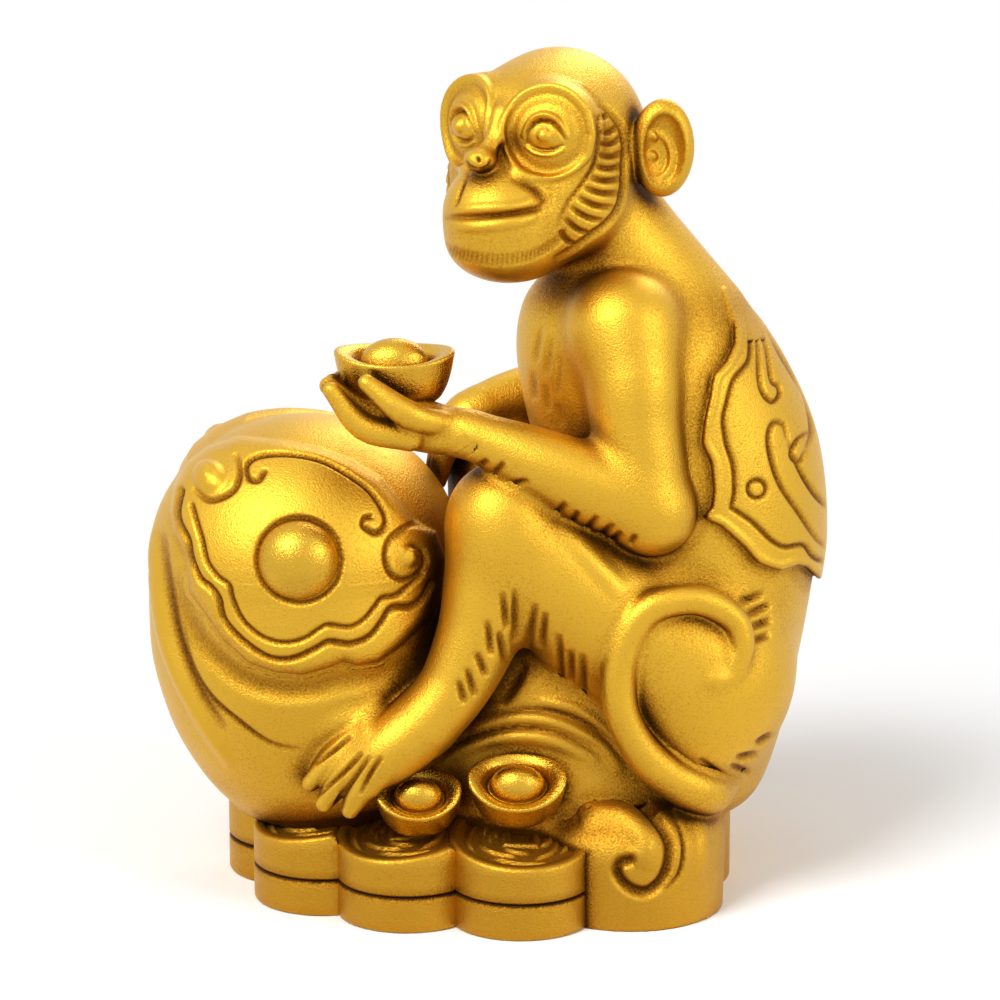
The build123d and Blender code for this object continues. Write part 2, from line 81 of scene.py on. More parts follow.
def smooth_union(first: np.ndarray, second: np.ndarray, blend: float) -> np.ndarray:
    """Melts two fields: their minimum, less a quarter of the squared overlap over the blend."""
    overlap = np.maximum(blend - np.abs(first - second), 0.0)
    return np.minimum(first, second) - overlap * overlap / (4.0 * blend)


def smooth_cut(first: np.ndarray, second: np.ndarray, blend: float) -> np.ndarray:
    """Takes the second field's inside out of the first, with a rounded edge."""
    return -smooth_union(-first, second, blend)


def smooth_step(values: np.ndarray, low: float, high: float) -> np.ndarray:
    """Rises from 0 at low to 1 at high along the cubic 3t^2 - 2t^3."""
    share = np.clip((values - low) / (high - low), 0.0, 1.0)
    return share * share * (3.0 - 2.0 * share)


def spline(rows: np.ndarray, per_span: int) -> np.ndarray:
    """A smooth curve through rows of any width, with per_span points a span.

    Each span is a cubic whose slope at a row is half the step between the rows beside it.

    Args:
        rows: The rows that the curve passes through.
        per_span: How many points each span gets.

    Returns:
        The points, the last row included.
    """
    rows = np.asarray(rows, np.float32)
    padded = np.vstack([2 * rows[:1] - rows[1:2], rows, 2 * rows[-1:] - rows[-2:-1]])
    share = (np.arange(per_span, dtype=np.float32) / per_span)[None, :, None]
    before, start, end, after = (padded[i : len(padded) - 3 + i, None, :] for i in range(4))
    points = 0.5 * (
        2 * start
        + (end - before) * share
        + (2 * before - 5 * start + 4 * end - after) * share**2
        + (3 * start - before - 3 * end + after) * share**3
    )
    return np.vstack([points.reshape(-1, rows.shape[1]), rows[-1:]])


@dataclass(frozen=True)
class Picture:
    """The photograph's camera: it looks along +Y, pitched down, from a distance to an aim."""

    pitch: float = math.radians(14.0)
    distance: float = 620.0
    width: float = 141.9
    frame_pixels: float = 1000.0
    aim: tuple[float, float, float] = (1.7, 0.0, 55.2)

    def place(self) -> np.ndarray:
        """The camera's place in millimetres."""
        back = np.array([0.0, -math.cos(self.pitch), math.sin(self.pitch)])
        return np.array(self.aim) + self.distance * back

    def look(self) -> np.ndarray:
        """The direction in which the camera looks."""
        return np.array([0.0, math.cos(self.pitch), -math.sin(self.pitch)], np.float32)

    def millimetres_a_pixel(self) -> float:
        """The size of a pixel at the aim."""
        return self.width / self.frame_pixels

    def project(self, points: np.ndarray) -> np.ndarray:
        """Pixels of points: their offsets across and up over their depth along the look.

        Args:
            points: Places in millimetres.

        Returns:
            Pixels across and down.
        """
        away = points - self.place().astype(np.float32)
        depth = away @ self.look()
        up = away[:, 1] * math.sin(self.pitch) + away[:, 2] * math.cos(self.pitch)
        scale = self.frame_pixels * self.distance / (self.width * depth)
        middle = self.frame_pixels / 2
        return np.stack([middle + away[:, 0] * scale, middle - up * scale], 1)


PICTURE = Picture()


class Shape:
    """A solid given by its distance field, with the box that it fills."""

    def distance(self, points: np.ndarray) -> np.ndarray:
        """Signed distance, negative inside.

        Args:
            points: Places in the shape's frame, a row each.

        Returns:
            The distances in millimetres.
        """
        raise NotImplementedError

    def box(self) -> Pair:
        """Lowest and highest corners."""
        raise NotImplementedError


@dataclass(frozen=True)
class Egg(Shape):
    """An ellipsoid, turned about Z by yaw and then tipped about its own Y by pitch, in degrees."""

    centre: tuple[float, float, float]
    radii: tuple[float, float, float]
    yaw: float = 0.0
    pitch: float = 0.0

    def axes(self) -> np.ndarray:
        """Its own axes as columns."""
        c, s = math.cos(math.radians(self.yaw)), math.sin(math.radians(self.yaw))
        p, q = math.cos(math.radians(self.pitch)), math.sin(math.radians(self.pitch))
        return np.array([[c * p, -s, c * q], [s * p, c, s * q], [-q, 0, p]], np.float32)

    def distance(self, points: np.ndarray) -> np.ndarray:
        """k0 (k0 - 1) / k1, with k0 the stretched radius and k1 its slope."""
        own = (points - np.float32(self.centre)) @ self.axes()
        radii = np.float32(self.radii)
        scaled = own / radii
        k0 = np.sqrt((scaled * scaled).sum(1)) + 1e-6
        steep = scaled / radii
        k1 = np.sqrt((steep * steep).sum(1)) + 1e-6
        return k0 * (k0 - 1.0) / k1

    def box(self) -> Pair:
        """The box of its turned axes."""
        half = np.sqrt(((self.axes() * np.float32(self.radii)) ** 2).sum(1))
        return np.float32(self.centre) - half, np.float32(self.centre) + half


@dataclass(frozen=True)
class Limb(Shape):
    """A round limb along a curve; a row is x, y, z and radius."""

    rows: tuple[tuple[float, float, float, float], ...]
    per_span: int = 5

    def distance(self, points: np.ndarray) -> np.ndarray:
        """The least, over short straight spans, of the distance to the balls that fill a span.

        With a the place along a span, h the distance from its line and g the growth of the radius,
        the nearest ball sits at a + h g / sqrt(1 - g^2), kept within the span.
        """
        path = spline(self.rows, self.per_span)
        nearest = np.full(len(points), FAR, np.float32)
        for start, end in zip(path[:-1], path[1:]):
            span = end[:3] - start[:3]
            length = max(float(np.linalg.norm(span)), 1e-6)
            growth = max(-0.95, min(0.95, float(end[3] - start[3]) / length))
            away = points - start[:3]
            along = away @ (span / length)
            across = np.sqrt(np.maximum((away * away).sum(1) - along * along, 0.0))
            ball = np.clip(along + across * (growth / math.sqrt(1 - growth**2)), 0.0, length)
            gap = np.hypot(along - ball, across) - (start[3] + growth * ball)
            nearest = np.minimum(nearest, gap)
        return nearest

    def box(self) -> Pair:
        """The box of its curve and radii."""
        path = spline(self.rows, self.per_span)
        radii = path[:, 3:]
        return (path[:, :3] - radii).min(0), (path[:, :3] + radii).max(0)


@dataclass(frozen=True)
class Levels(Shape):
    """A mass given by level ovals; a row is height, front, back and half width."""

    rows: tuple[tuple[float, float, float, float], ...]
    grow: float = 0.0

    def distance(self, points: np.ndarray) -> np.ndarray:
        """(k - 1) over the slope of k, where k is the stretched radius in the oval at a height."""
        table = spline(self.rows, 6)
        height = np.clip(points[:, 2], table[0, 0], table[-1, 0])
        middle = (table[:, 1] + table[:, 2]) / 2
        half = (table[:, 2] - table[:, 1]) / 2
        tables = [middle, half, table[:, 3]]
        slopes = [np.gradient(values, table[:, 0]) for values in tables]
        c, a, b = (np.interp(height, table[:, 0], values).astype(np.float32) for values in tables)
        dc, da, db = (np.interp(height, table[:, 0], s).astype(np.float32) for s in slopes)
        x = points[:, 0] - c
        y = points[:, 1]
        k = np.sqrt((x / a) ** 2 + (y / b) ** 2) + 1e-6
        up = -(x * dc / a**2 + x * x * da / a**3 + y * y * db / b**3) / k
        slope = np.sqrt((x / a**2) ** 2 + (y / b**2) ** 2) / k
        side = (k - 1.0) / np.sqrt(slope**2 + up**2 + 1e-9) - self.grow
        top = table[-1, 0] + self.grow
        return np.maximum(side, np.maximum(table[0, 0] - points[:, 2], points[:, 2] - top))

    def box(self) -> Pair:
        """The box of its ovals."""
        rows = np.float32(self.rows)
        low = np.array([rows[:, 1].min(), -rows[:, 3].max(), rows[0, 0]])
        high = np.array([rows[:, 2].max(), rows[:, 3].max(), rows[-1, 0]])
        return low - self.grow, high + self.grow


@dataclass(frozen=True)
class Union(Shape):
    """Several shapes as one, where they already run smoothly into each other."""

    shapes: tuple[Shape, ...]

    def distance(self, points: np.ndarray) -> np.ndarray:
        """The least of their distances."""
        return np.minimum.reduce([shape.distance(points) for shape in self.shapes])

    def box(self) -> Pair:
        """The box round all of them."""
        lows, highs = zip(*(shape.box() for shape in self.shapes))
        return np.min(lows, 0), np.max(highs, 0)


@dataclass(frozen=True)
class Disc(Shape):
    """A round disc with an upright axis, with its upper face tilted about its centre."""

    centre: tuple[float, float]
    radius: float
    low: float
    high: float
    tilt: tuple[float, float] = (0.0, 0.0)

    def distance(self, points: np.ndarray) -> np.ndarray:
        """The greatest of the distances past the wall, the underside and the tilted face."""
        x = points[:, 0] - self.centre[0]
        y = points[:, 1] - self.centre[1]
        face = (points[:, 2] - self.high + x * self.tilt[0] + y * self.tilt[1]) * 0.98
        return np.maximum(np.hypot(x, y) - self.radius, np.maximum(self.low - points[:, 2], face))

    def box(self) -> Pair:
        """The box of its wall, with room for the tilt."""
        reach = self.radius * (abs(self.tilt[0]) + abs(self.tilt[1]))
        low = np.array([self.centre[0] - self.radius, self.centre[1] - self.radius, self.low])
        high = np.array(
            [self.centre[0] + self.radius, self.centre[1] + self.radius, self.high + reach]
        )
        return low, high


def outline_distance(pixels: np.ndarray, outline: np.ndarray) -> np.ndarray:
    """Signed distance in pixels to a closed outline, negative inside.

    The distance is the least over the outline's sides; the sign comes from how many sides a level
    ray crosses.

    Args:
        pixels: Places on the picture.
        outline: The corners in order.

    Returns:
        The distances in pixels.
    """
    nearest = np.full(len(pixels), 1e6, np.float32)
    inside = np.zeros(len(pixels), bool)
    x, y = pixels[:, 0], pixels[:, 1]
    for (x0, y0), (x1, y1) in zip(outline, np.roll(outline, -1, 0)):
        dx, dy = x1 - x0, y1 - y0
        share = np.clip(((x - x0) * dx + (y - y0) * dy) / (dx * dx + dy * dy + 1e-9), 0.0, 1.0)
        nearest = np.minimum(nearest, np.hypot(x - x0 - share * dx, y - y0 - share * dy))
        crosses = (y0 > y) != (y1 > y)
        if y1 != y0:
            inside ^= crosses & (x < x0 + (y - y0) / (y1 - y0) * dx)
    return np.where(inside, -nearest, nearest)


def near_side(points: np.ndarray) -> np.ndarray:
    """The points with those of the far side mirrored to the side shown."""
    return points * np.float32((1, 0, 1)) - np.abs(points) * np.float32((0, 1, 0))


@dataclass(frozen=True)
class Panel(Shape):
    """A panel raised on level ovals, within an outline drawn on the picture, on both sides."""

    ovals: Shape
    outline: tuple[tuple[float, float], ...]
    edge_round: float = 0.9

    def distance(self, points: np.ndarray) -> np.ndarray:
        """The rounded greatest of the distance to the ovals and to the outline's wall."""
        wall = outline_distance(PICTURE.project(near_side(points)), np.float32(self.outline))
        wall = wall * PICTURE.millimetres_a_pixel()
        return smooth_cut(self.ovals.distance(points), -wall, self.edge_round)

    def box(self) -> Pair:
        """The box of its ovals."""
        return self.ovals.box()


@dataclass(frozen=True)
class Shell(Shape):
    """All that lies deeper than a depth under level ovals, or past the middle towards a side."""

    ovals: Shape
    depth: float
    side: int = 0

    def distance(self, points: np.ndarray) -> np.ndarray:
        """The ovals' distance plus the depth, or the distance past the middle if that is less."""
        deep = self.ovals.distance(points) + self.depth
        return np.minimum(deep, -self.side * points[:, 1]) if self.side else deep

    def box(self) -> Pair:
        """The box of its ovals."""
        return self.ovals.box()


@dataclass(frozen=True)
class Axes:
    """A turned frame: a centre and a yaw about the upright that its own X axis has."""

    centre: tuple[float, float, float] = (0.0, 0.0, 0.0)
    yaw: float = 0.0

    def basis(self) -> np.ndarray:
        """Its own axes as columns."""
        c, s = math.cos(math.radians(self.yaw)), math.sin(math.radians(self.yaw))
        return np.array([[c, -s, 0], [s, c, 0], [0, 0, 1]], np.float32)

    def inwards(self, points: np.ndarray) -> np.ndarray:
        """Points in its own coordinates."""
        return (points - np.float32(self.centre)) @ self.basis()

    def outwards(self, points: np.ndarray) -> np.ndarray:
        """Its own points in the common frame."""
        return np.asarray(points, np.float32) @ self.basis().T + np.float32(self.centre)


@dataclass
class Form:
    """One piece of the sculpture.

    Attributes:
        node: The CAD node that it stands for.
        adds: Shapes melted together in order, each with its blend in millimetres.
        cuts: Shapes taken out, each with its blend.
        blend: How far it melts into the forms before it.
        step: Its mesh step in millimetres.
        axes: The frame that its shapes are given in.
        mirrored: Whether it is made on the far side.
        floor: The height that it ends at, or None.
    """

    node: str
    adds: list[tuple[Shape, float]]
    cuts: list[tuple[Shape, float]] = field(default_factory=list)
    blend: float = 1.2
    step: float = 0.35
    axes: Axes = Axes()
    mirrored: bool = False
    floor: float | None = None

    def own(self, points: np.ndarray) -> np.ndarray:
        """Points in the form's own frame.

        Args:
            points: Places in the common frame.

        Returns:
            The same places as the form's shapes read them.
        """
        if self.mirrored:
            points = points * FLIP
        return self.axes.inwards(points)

    def distance(self, points: np.ndarray) -> np.ndarray:
        """Its shapes melted in order, each read only where its box is near.

        Args:
            points: Places in the common frame.

        Returns:
            Signed distances.
        """
        own = self.own(points)
        result = np.full(len(points), FAR, np.float32)
        for shape, blend in self.adds:
            near, values = read_near(shape, own)
            result[near] = smooth_union(result[near], values, blend)
        for shape, blend in self.cuts:
            near, values = read_near(shape, own)
            result[near] = smooth_cut(result[near], values, blend)
        return result

    def box(self) -> Pair:
        """The box of its added shapes in the common frame."""
        corners = []
        for shape, _ in self.adds:
            low, high = shape.box()
            grid = np.array(np.meshgrid(*zip(low, high))).reshape(3, -1).T
            corners.append(self.axes.outwards(grid))
        corners = np.vstack(corners)
        if self.mirrored:
            corners = corners * FLIP
        return corners.min(0), corners.max(0)


def read_near(shape: Shape, points: np.ndarray) -> Pair:
    """Reads a shape only at the points near its box.

    Args:
        shape: The shape.
        points: Points in the shape's frame.

    Returns:
        Which points are near, and the distances there.
    """
    low, high = shape.box()
    near = np.all((points > low - MARGIN) & (points < high + MARGIN), 1)
    return near, shape.distance(points[near]).astype(np.float32)


class Sculpture:
    """All forms melted into one skin, which is then cut into one closed skin for each form.

    Attributes:
        overlap: How far a form goes on behind its neighbour before it is closed.
        tuck: How far it lies under the neighbour's skin there.
        crevice_steps: Steps out along the normal, with what each weighs in the depth of painted
            shade.
        crevice_most: The most that one step can miss of its length.
    """

    overlap = 1.0
    tuck = 0.12
    crevice_steps = ((0.9, 0.30), (2.2, 0.40), (5.0, 0.30))
    crevice_most = 1.3

    def __init__(self, forms: list[Form], occluders: list[Shape]) -> None:
        """Keeps the forms, with their boxes, and the solids that only shade them.

        Args:
            forms: The pieces, in the order in which they melt.
            occluders: Solids beside them, in the common frame.
        """
        self.forms = forms
        self.occluders = occluders
        self.boxes = {form.node: form.box() for form in forms}

    def read(self, points: np.ndarray, node: str | None = None) -> np.ndarray:
        """The melted skin, or one form's own closed skin.

        The melted skin is the smooth union of all the forms in order. A form's own skin is the
        melted one, tucked in a little beyond its border, and closed where the form lies further
        than the overlap behind its nearest neighbour.

        Args:
            points: Where to read.
            node: The form to close off, or None for the melted skin.

        Returns:
            Signed distances.
        """
        skin = np.full(len(points), FAR, np.float32)
        mine = np.full(len(points), FAR, np.float32)
        others = np.full(len(points), FAR, np.float32)
        for form in self.forms:
            low, high = self.boxes[form.node]
            near = np.all((points > low - MARGIN) & (points < high + MARGIN), 1)
            if not near.any():
                continue
            values = form.distance(points[near])
            skin[near] = smooth_union(skin[near], values, form.blend)
            if form.node == node:
                mine[near] = values
            else:
                others[near] = np.minimum(others[near], values)
        if node is None:
            return skin
        behind = mine - others
        tucked = skin + self.tuck * np.clip(behind / self.overlap, 0.0, 1.0)
        closed = np.maximum(tucked, behind - self.overlap)
        floor = next(form.floor for form in self.forms if form.node == node)
        return closed if floor is None else np.maximum(closed, floor - points[:, 2])

    def shade(self, points: np.ndarray, normals: np.ndarray) -> np.ndarray:
        """How deep each point lies in a hollow, from 0 to 1; this depth is painted on as shade.

        A step out along the normal should gain as much distance as its length; what is missing,
        weighed over three steps, is the depth of painted shade.

        Args:
            points: Places on the skin.
            normals: Its outward directions there.

        Returns:
            The crevice depths.
        """
        missing = np.zeros(len(points), np.float32)
        for step, weight in self.crevice_steps:
            away = points + normals * np.float32(step)
            skin = self.read(away)
            for solid in self.occluders:
                near, values = read_near(solid, away)
                skin[near] = np.minimum(skin[near], values)
            missing += weight * np.clip((step - skin) / step, 0.0, self.crevice_most)
        return missing


def surface_net(values: np.ndarray, low: np.ndarray, step: float) -> Pair:
    """The zero surface of a field on a grid, as quads.

    Each cell that the surface crosses gets one vertex, at the mean of the crossings of its twelve
    edges; each grid edge that is crossed gets one quad between its four cells.

    Args:
        values: The field on the grid, negative inside.
        low: The grid's lowest corner.
        step: The grid's step.

    Returns:
        The vertices and the quads' vertex numbers.
    """
    inside = values < 0
    shape = np.array(values.shape) - 1
    corner = [(i, j, k) for i in (0, 1) for j in (0, 1) for k in (0, 1)]
    count = np.zeros(shape, np.int8)
    for i, j, k in corner:
        count += inside[i : i + shape[0], j : j + shape[1], k : k + shape[2]]
    cells = np.nonzero((count > 0) & (count < 8))
    number = np.full(shape, -1, np.int32)
    number[cells] = np.arange(len(cells[0]))
    at_corner = [values[cells[0] + i, cells[1] + j, cells[2] + k] for i, j, k in corner]
    total = np.zeros((len(cells[0]), 3), np.float32)
    crossings = np.zeros(len(cells[0]), np.float32)
    for first, a in enumerate(corner):
        for second, b in enumerate(corner):
            if sum(b) - sum(a) == 1 and sum(x != y for x, y in zip(a, b)) == 1:
                va, vb = at_corner[first], at_corner[second]
                crossed = (va < 0) != (vb < 0)
                share = np.where(crossed, va / np.where(crossed, va - vb, 1.0), 0.0)
                place = np.float32(a) + share[:, None] * (np.float32(b) - np.float32(a))
                total += np.where(crossed[:, None], place, 0.0)
                crossings += crossed
    vertices = (np.stack(cells, 1) + total / crossings[:, None]) * step + low
    quads = []
    for axis in range(3):
        u, v = (axis + 1) % 3, (axis + 2) % 3
        first = [slice(None)] * 3
        second = [slice(None)] * 3
        first[axis] = slice(0, -1)
        second[axis] = slice(1, None)
        lower, upper = inside[tuple(first)], inside[tuple(second)]
        edges = np.array(np.nonzero(lower != upper))
        ok = (edges[u] > 0) & (edges[v] > 0) & (edges[u] < shape[u]) & (edges[v] < shape[v])
        edges = edges[:, ok]
        ring = []
        for du, dv in ((1, 1), (0, 1), (0, 0), (1, 0)):
            cell = edges.copy()
            cell[u] -= du
            cell[v] -= dv
            ring.append(number[tuple(cell)])
        quad = np.stack(ring, 1)
        outward = lower[tuple(edges)]
        quads.append(np.where(outward[:, None], quad, quad[:, ::-1]))
    return vertices.astype(np.float32), np.vstack(quads)


def in_chunks(read: Callable[..., np.ndarray], *tables: np.ndarray) -> np.ndarray:
    """Reads in chunks of points that lie together, so that far shapes are skipped.

    Args:
        read: What reads a chunk.
        *tables: Arrays with a row for each point.

    Returns:
        The readings of all the chunks.
    """
    starts = range(0, len(tables[0]), CHUNK)
    pieces = [read(*(table[start : start + CHUNK] for table in tables)) for start in starts]
    return np.concatenate(pieces) if pieces else np.zeros(0, np.float32)


def read_grid(
    read: Callable[[np.ndarray], np.ndarray], low: np.ndarray, blocks: np.ndarray, step: float
) -> np.ndarray:
    """A field on a grid, read point by point only where the surface is near.

    The field is first read at the middle of each block of cells. Blocks that lie further from the
    surface than about their own size keep that one value.

    Args:
        read: The field.
        low: The grid's lowest corner.
        blocks: How many blocks the grid has along each axis.
        step: The grid's step.

    Returns:
        The values, with positive ones all round the border.
    """
    span = step * BLOCK
    axes = [low[i] + np.arange(blocks[i]) * span + span / 2 for i in range(3)]
    centres = np.stack(np.meshgrid(*axes, indexing="ij"), -1).reshape(-1, 3).astype(np.float32)
    at_centre = in_chunks(read, centres).reshape(blocks)
    values = np.kron(at_centre, np.ones((BLOCK,) * 3, np.float32))
    values = np.pad(values, ((0, 1),) * 3, mode="edge")
    near = np.kron(np.abs(at_centre) < span * 1.25, np.ones((BLOCK,) * 3, bool))
    near = np.pad(near, ((0, 1),) * 3, mode="edge")
    for axis in range(3):
        near |= np.roll(near, 1, axis)
    index = np.array(np.nonzero(near))
    values[tuple(index)] = in_chunks(read, (index.T * step + low).astype(np.float32))
    values[[0, -1]] = values[:, [0, -1]] = values[:, :, [0, -1]] = 1.0
    return values


def slope_at(
    read: Callable[[np.ndarray], np.ndarray], places: np.ndarray
) -> Pair:
    """A field's direction of rise and its steepness, from four points round each place.

    Args:
        read: The field.
        places: Where to read it.

    Returns:
        Unit directions, and distance gained a millimetre.
    """
    reach = np.float32(0.06)
    slope = np.zeros_like(places)
    for corner in ((1, 1, 1), (1, -1, -1), (-1, 1, -1), (-1, -1, 1)):
        offset = np.float32(corner)
        slope += offset * in_chunks(read, places + offset * reach)[:, None]
    length = np.linalg.norm(slope, axis=1, keepdims=True) + 1e-9
    return slope / length, length[:, 0] / (4 * reach)


def sculpt(sculpture: Sculpture, form: Form, coarse: float) -> tuple[np.ndarray, ...]:
    """Makes one form's closed skin.

    The surface net of the form's field is moved along the field's slope onto the surface.

    Args:
        sculpture: The melted whole.
        form: The form.
        coarse: How many times coarser than its step the mesh is made.

    Returns:
        Vertices, quads, normals and the depth of painted shade.
    """
    step = form.step * coarse
    read = partial(sculpture.read, node=form.node)
    low, high = sculpture.boxes[form.node]
    low = low - 2.5 * step - 0.5
    blocks = np.ceil((high + 2.5 * step + 0.5 - low) / (step * BLOCK)).astype(int) + 1
    values = read_grid(read, low, blocks, step)
    vertices, quads = surface_net(values, low.astype(np.float32), step)
    normals, steepness = slope_at(read, vertices)
    steepness = np.maximum(steepness, 0.4)
    for _ in range(2):
        move = np.clip(in_chunks(read, vertices) / steepness, -step, step)
        vertices = vertices - normals * move[:, None]
    return vertices, quads, normals, in_chunks(sculpture.shade, vertices, normals)


@dataclass(frozen=True)
class Figure:
    """The driving sizes: places are shares of the half length, half depth and rise."""

    half_length: float = 48.3
    half_depth: float = 31.0
    base_height: float = 11.0
    rise: float = 109.0

    def at(self, x_share: float, y_share: float, z_share: float) -> tuple[float, float, float]:
        """A place from its shares.

        Args:
            x_share: Share of the half length.
            y_share: Share of the half depth.
            z_share: Share of the rise over the base.

        Returns:
            The place in millimetres.
        """
        return (
            x_share * self.half_length,
            y_share * self.half_depth,
            self.base_height + z_share * self.rise,
        )

    def limb(self, shares: list[tuple], girth: float) -> Limb:
        """A limb from rows of three place shares and a share of its girth."""
        return Limb(tuple((*self.at(*row[:3]), row[3] * girth) for row in shares))

    def levels(self, shares: list[tuple], half_width: float, grow: float = 0.0) -> Levels:
        """Level ovals from rows of height, front, back and width shares.

        Args:
            shares: Height, front, back and width shares, upwards.
            half_width: What the width shares are of.
            grow: How far the walls move out.

        Returns:
            The ovals.
        """
        rows = tuple(
            (
                self.base_height + z * self.rise,
                front * self.half_length,
                back * self.half_length,
                width * half_width,
            )
            for z, front, back, width in shares
        )
        return Levels(rows, grow)


FIGURE = Figure()
# Each side's name, and whether it is made by mirroring the side shown
SIDES = (("left", False), ("right", True))
HEAD = Axes((9.4, -1.0, 106.8), -125.0)


@dataclass(frozen=True)
class Stroke:
    """A groove, or a ridge where depth is negative, along points on a sheet.

    Attributes:
        points: The places it runs through, in the sheet's units.
        width: Half its width in millimetres.
        depth: Its depth in millimetres.
        taper: Whether it thins out at its ends.
        closed: Whether it comes back to its start.
        painted_dark: How much painted shade stays in it, from 0 to 1.
    """

    points: tuple[tuple[float, float], ...]
    width: float = 0.8
    depth: float = 0.4
    taper: bool = True
    closed: bool = False
    painted_dark: float = 1.0

    def cut(self, places: np.ndarray, unit: float) -> Pair:
        """The bell (1 - (d/w)^2)^2 across, times a taper along.

        Args:
            places: Places on the sheet.
            unit: Millimetres in a unit of the sheet.

        Returns:
            Which places it reaches, and its share of full depth there.
        """
        rows = np.float32(self.points)
        if self.closed:
            rows = np.vstack([rows, rows[:1]])
        path = spline(rows, 5) if len(rows) > 2 else rows
        reach = self.width / unit
        near = np.all((places > path.min(0) - reach) & (places < path.max(0) + reach), 1)
        near = np.nonzero(near)[0]
        here = places[near]
        best = np.full(len(here), 1e6, np.float32)
        along = np.zeros(len(here), np.float32)
        count = len(path) - 1
        for number, (start, end) in enumerate(zip(path[:-1], path[1:])):
            span = end - start
            away = here - start
            share = np.clip(away @ span / max(float(span @ span), 1e-9), 0.0, 1.0)
            offset = away - share[:, None] * span
            distance = np.hypot(offset[:, 0], offset[:, 1])
            closer = distance < best
            best = np.where(closer, distance, best)
            along = np.where(closer, (number + share) / count, along)
        bell = np.clip(1.0 - (best / reach) ** 2, 0.0, 1.0) ** 2
        if self.taper:
            bell = bell * np.clip(4.0 * along * (1.0 - along), 0.0, 1.0) ** 0.5
        return near, bell


class Mirror(Enum):
    """How a sheet takes the far side."""

    NONE = "as it is"
    DEPTH = "the figure's far side as its near side"
    HEAD = "the head's right as its left"


@dataclass(frozen=True)
class Sheet:
    """The picture laid over a piece from the camera, or a plane laid on the head.

    Attributes:
        strokes: What is engraved on it.
        mirror: How the far side is taken.
        plane: A plane's centre on the head, or None for the picture.
        turn: The plane's yaw on the head, in degrees.
        reach: How far from the plane it still engraves, in millimetres.
    """

    strokes: tuple[Stroke, ...]
    mirror: Mirror = Mirror.NONE
    plane: tuple[float, float, float] | None = None
    turn: float = 0.0
    reach: float = 5.0

    def lay(self, points: np.ndarray, normals: np.ndarray) -> tuple[np.ndarray, np.ndarray, float]:
        """Places on the sheet, how squarely each point faces it, and millimetres in a unit.

        Args:
            points: Places on the skin.
            normals: Its outward directions there.

        Returns:
            The places, the cosines of the facing angles, and the unit.
        """
        if self.plane is not None:
            axes = Axes(self.plane, self.turn)
            own = axes.inwards(HEAD.inwards(points))
            facing = (normals @ HEAD.basis() @ axes.basis())[:, 0]
            facing = np.where(np.abs(own[:, 0]) < self.reach, facing, -1.0)
            return own[:, 1:], facing, 1.0
        if self.mirror is Mirror.DEPTH:
            far = np.where(points[:, 1:2] > 0, FLIP, AS_IS)
            points, normals = points * far, normals * far
        if self.mirror is Mirror.HEAD:
            own = HEAD.inwards(points)
            turned = normals @ HEAD.basis()
            far = np.where(own[:, 1:2] < 0, FLIP, AS_IS)
            points = HEAD.outwards(own * far)
            normals = (turned * far) @ HEAD.basis().T
        to_camera = PICTURE.place().astype(np.float32) - points
        to_camera /= np.linalg.norm(to_camera, axis=1, keepdims=True)
        facing = (to_camera * normals).sum(1)
        return PICTURE.project(points), facing, PICTURE.millimetres_a_pixel()

    def engrave(self, points: np.ndarray, normals: np.ndarray) -> Pair:
        """Height of the relief at each point, and the painted shade of a groove there, from 0 to 1.

        Args:
            points: Places on the skin.
            normals: Its outward directions there.

        Returns:
            Heights in millimetres, and shares of the grooves' painted shade.
        """
        places, facing, unit = self.lay(points, normals)
        seen = smooth_step(facing, 0.02, 0.25)
        cut = np.zeros(len(points), np.float32)
        raised = np.zeros(len(points), np.float32)
        # Painted shade that each groove leaves in the colour
        painted_dark = np.zeros(len(points), np.float32)
        for stroke in self.strokes:
            near, bell = stroke.cut(places, unit)
            bell = bell * seen[near]
            if stroke.depth > 0:
                cut[near] = np.maximum(cut[near], bell * stroke.depth)
                painted_dark[near] = np.maximum(painted_dark[near], bell * stroke.painted_dark)
            else:
                raised[near] = np.maximum(raised[near], -bell * stroke.depth)
        return raised - cut, painted_dark


def circle(x: float, y: float, across: float, up: float | None = None) -> tuple:
    """Twelve points round an oval on a sheet.

    Args:
        x: Middle across.
        y: Middle down, or up on a plane.
        across: Half its width.
        up: Half its height, or None for a circle.

    Returns:
        The points.
    """
    up = across if up is None else up
    turns = np.arange(12) * math.tau / 12
    return tuple((x + across * math.cos(t), y + up * math.sin(t)) for t in turns)


SEAT_LEVELS = [
    (0, -0.76, -0.17, 0.67),
    (0.046, -0.853, -0.083, 0.80),
    (0.111, -0.936, -0.041, 0.91),
    (0.193, -0.99, -0.031, 0.98),
    (0.262, -1.0, -0.040, 1.0),
    (0.331, -0.9955, -0.0785, 0.985),
]
BODY_LEVELS = [
    (0, 0.33, 0.72, 0.78),
    (0.028, 0.31, 0.807, 0.92),
    (0.106, 0.27, 0.87, 1.06),
    (0.216, 0.23, 0.923, 1.11),
    (0.303, 0.217, 0.955, 1.06),
    (0.367, 0.207, 0.97, 1.02),
    (0.45, 0.166, 0.957, 1.0),
    (0.523, 0.114, 0.915, 0.97),
    (0.606, 0.083, 0.822, 0.94),
    (0.67, 0.104, 0.71, 0.80),
    (0.725, 0.186, 0.575, 0.53),
    (0.769, 0.19, 0.50, 0.42),
    (0.82, 0.165, 0.447, 0.36),
]
GROUND_HALF_WIDTH = 31.0
GROUND_LEVELS = [
    (0, -0.29, 0.69, 0.66),
    (0.064, -0.30, 0.69, 0.66),
    (0.138, -0.26, 0.64, 0.62),
    (0.21, -0.21, 0.58, 0.55),
    (0.284, -0.12, 0.50, 0.42),
]


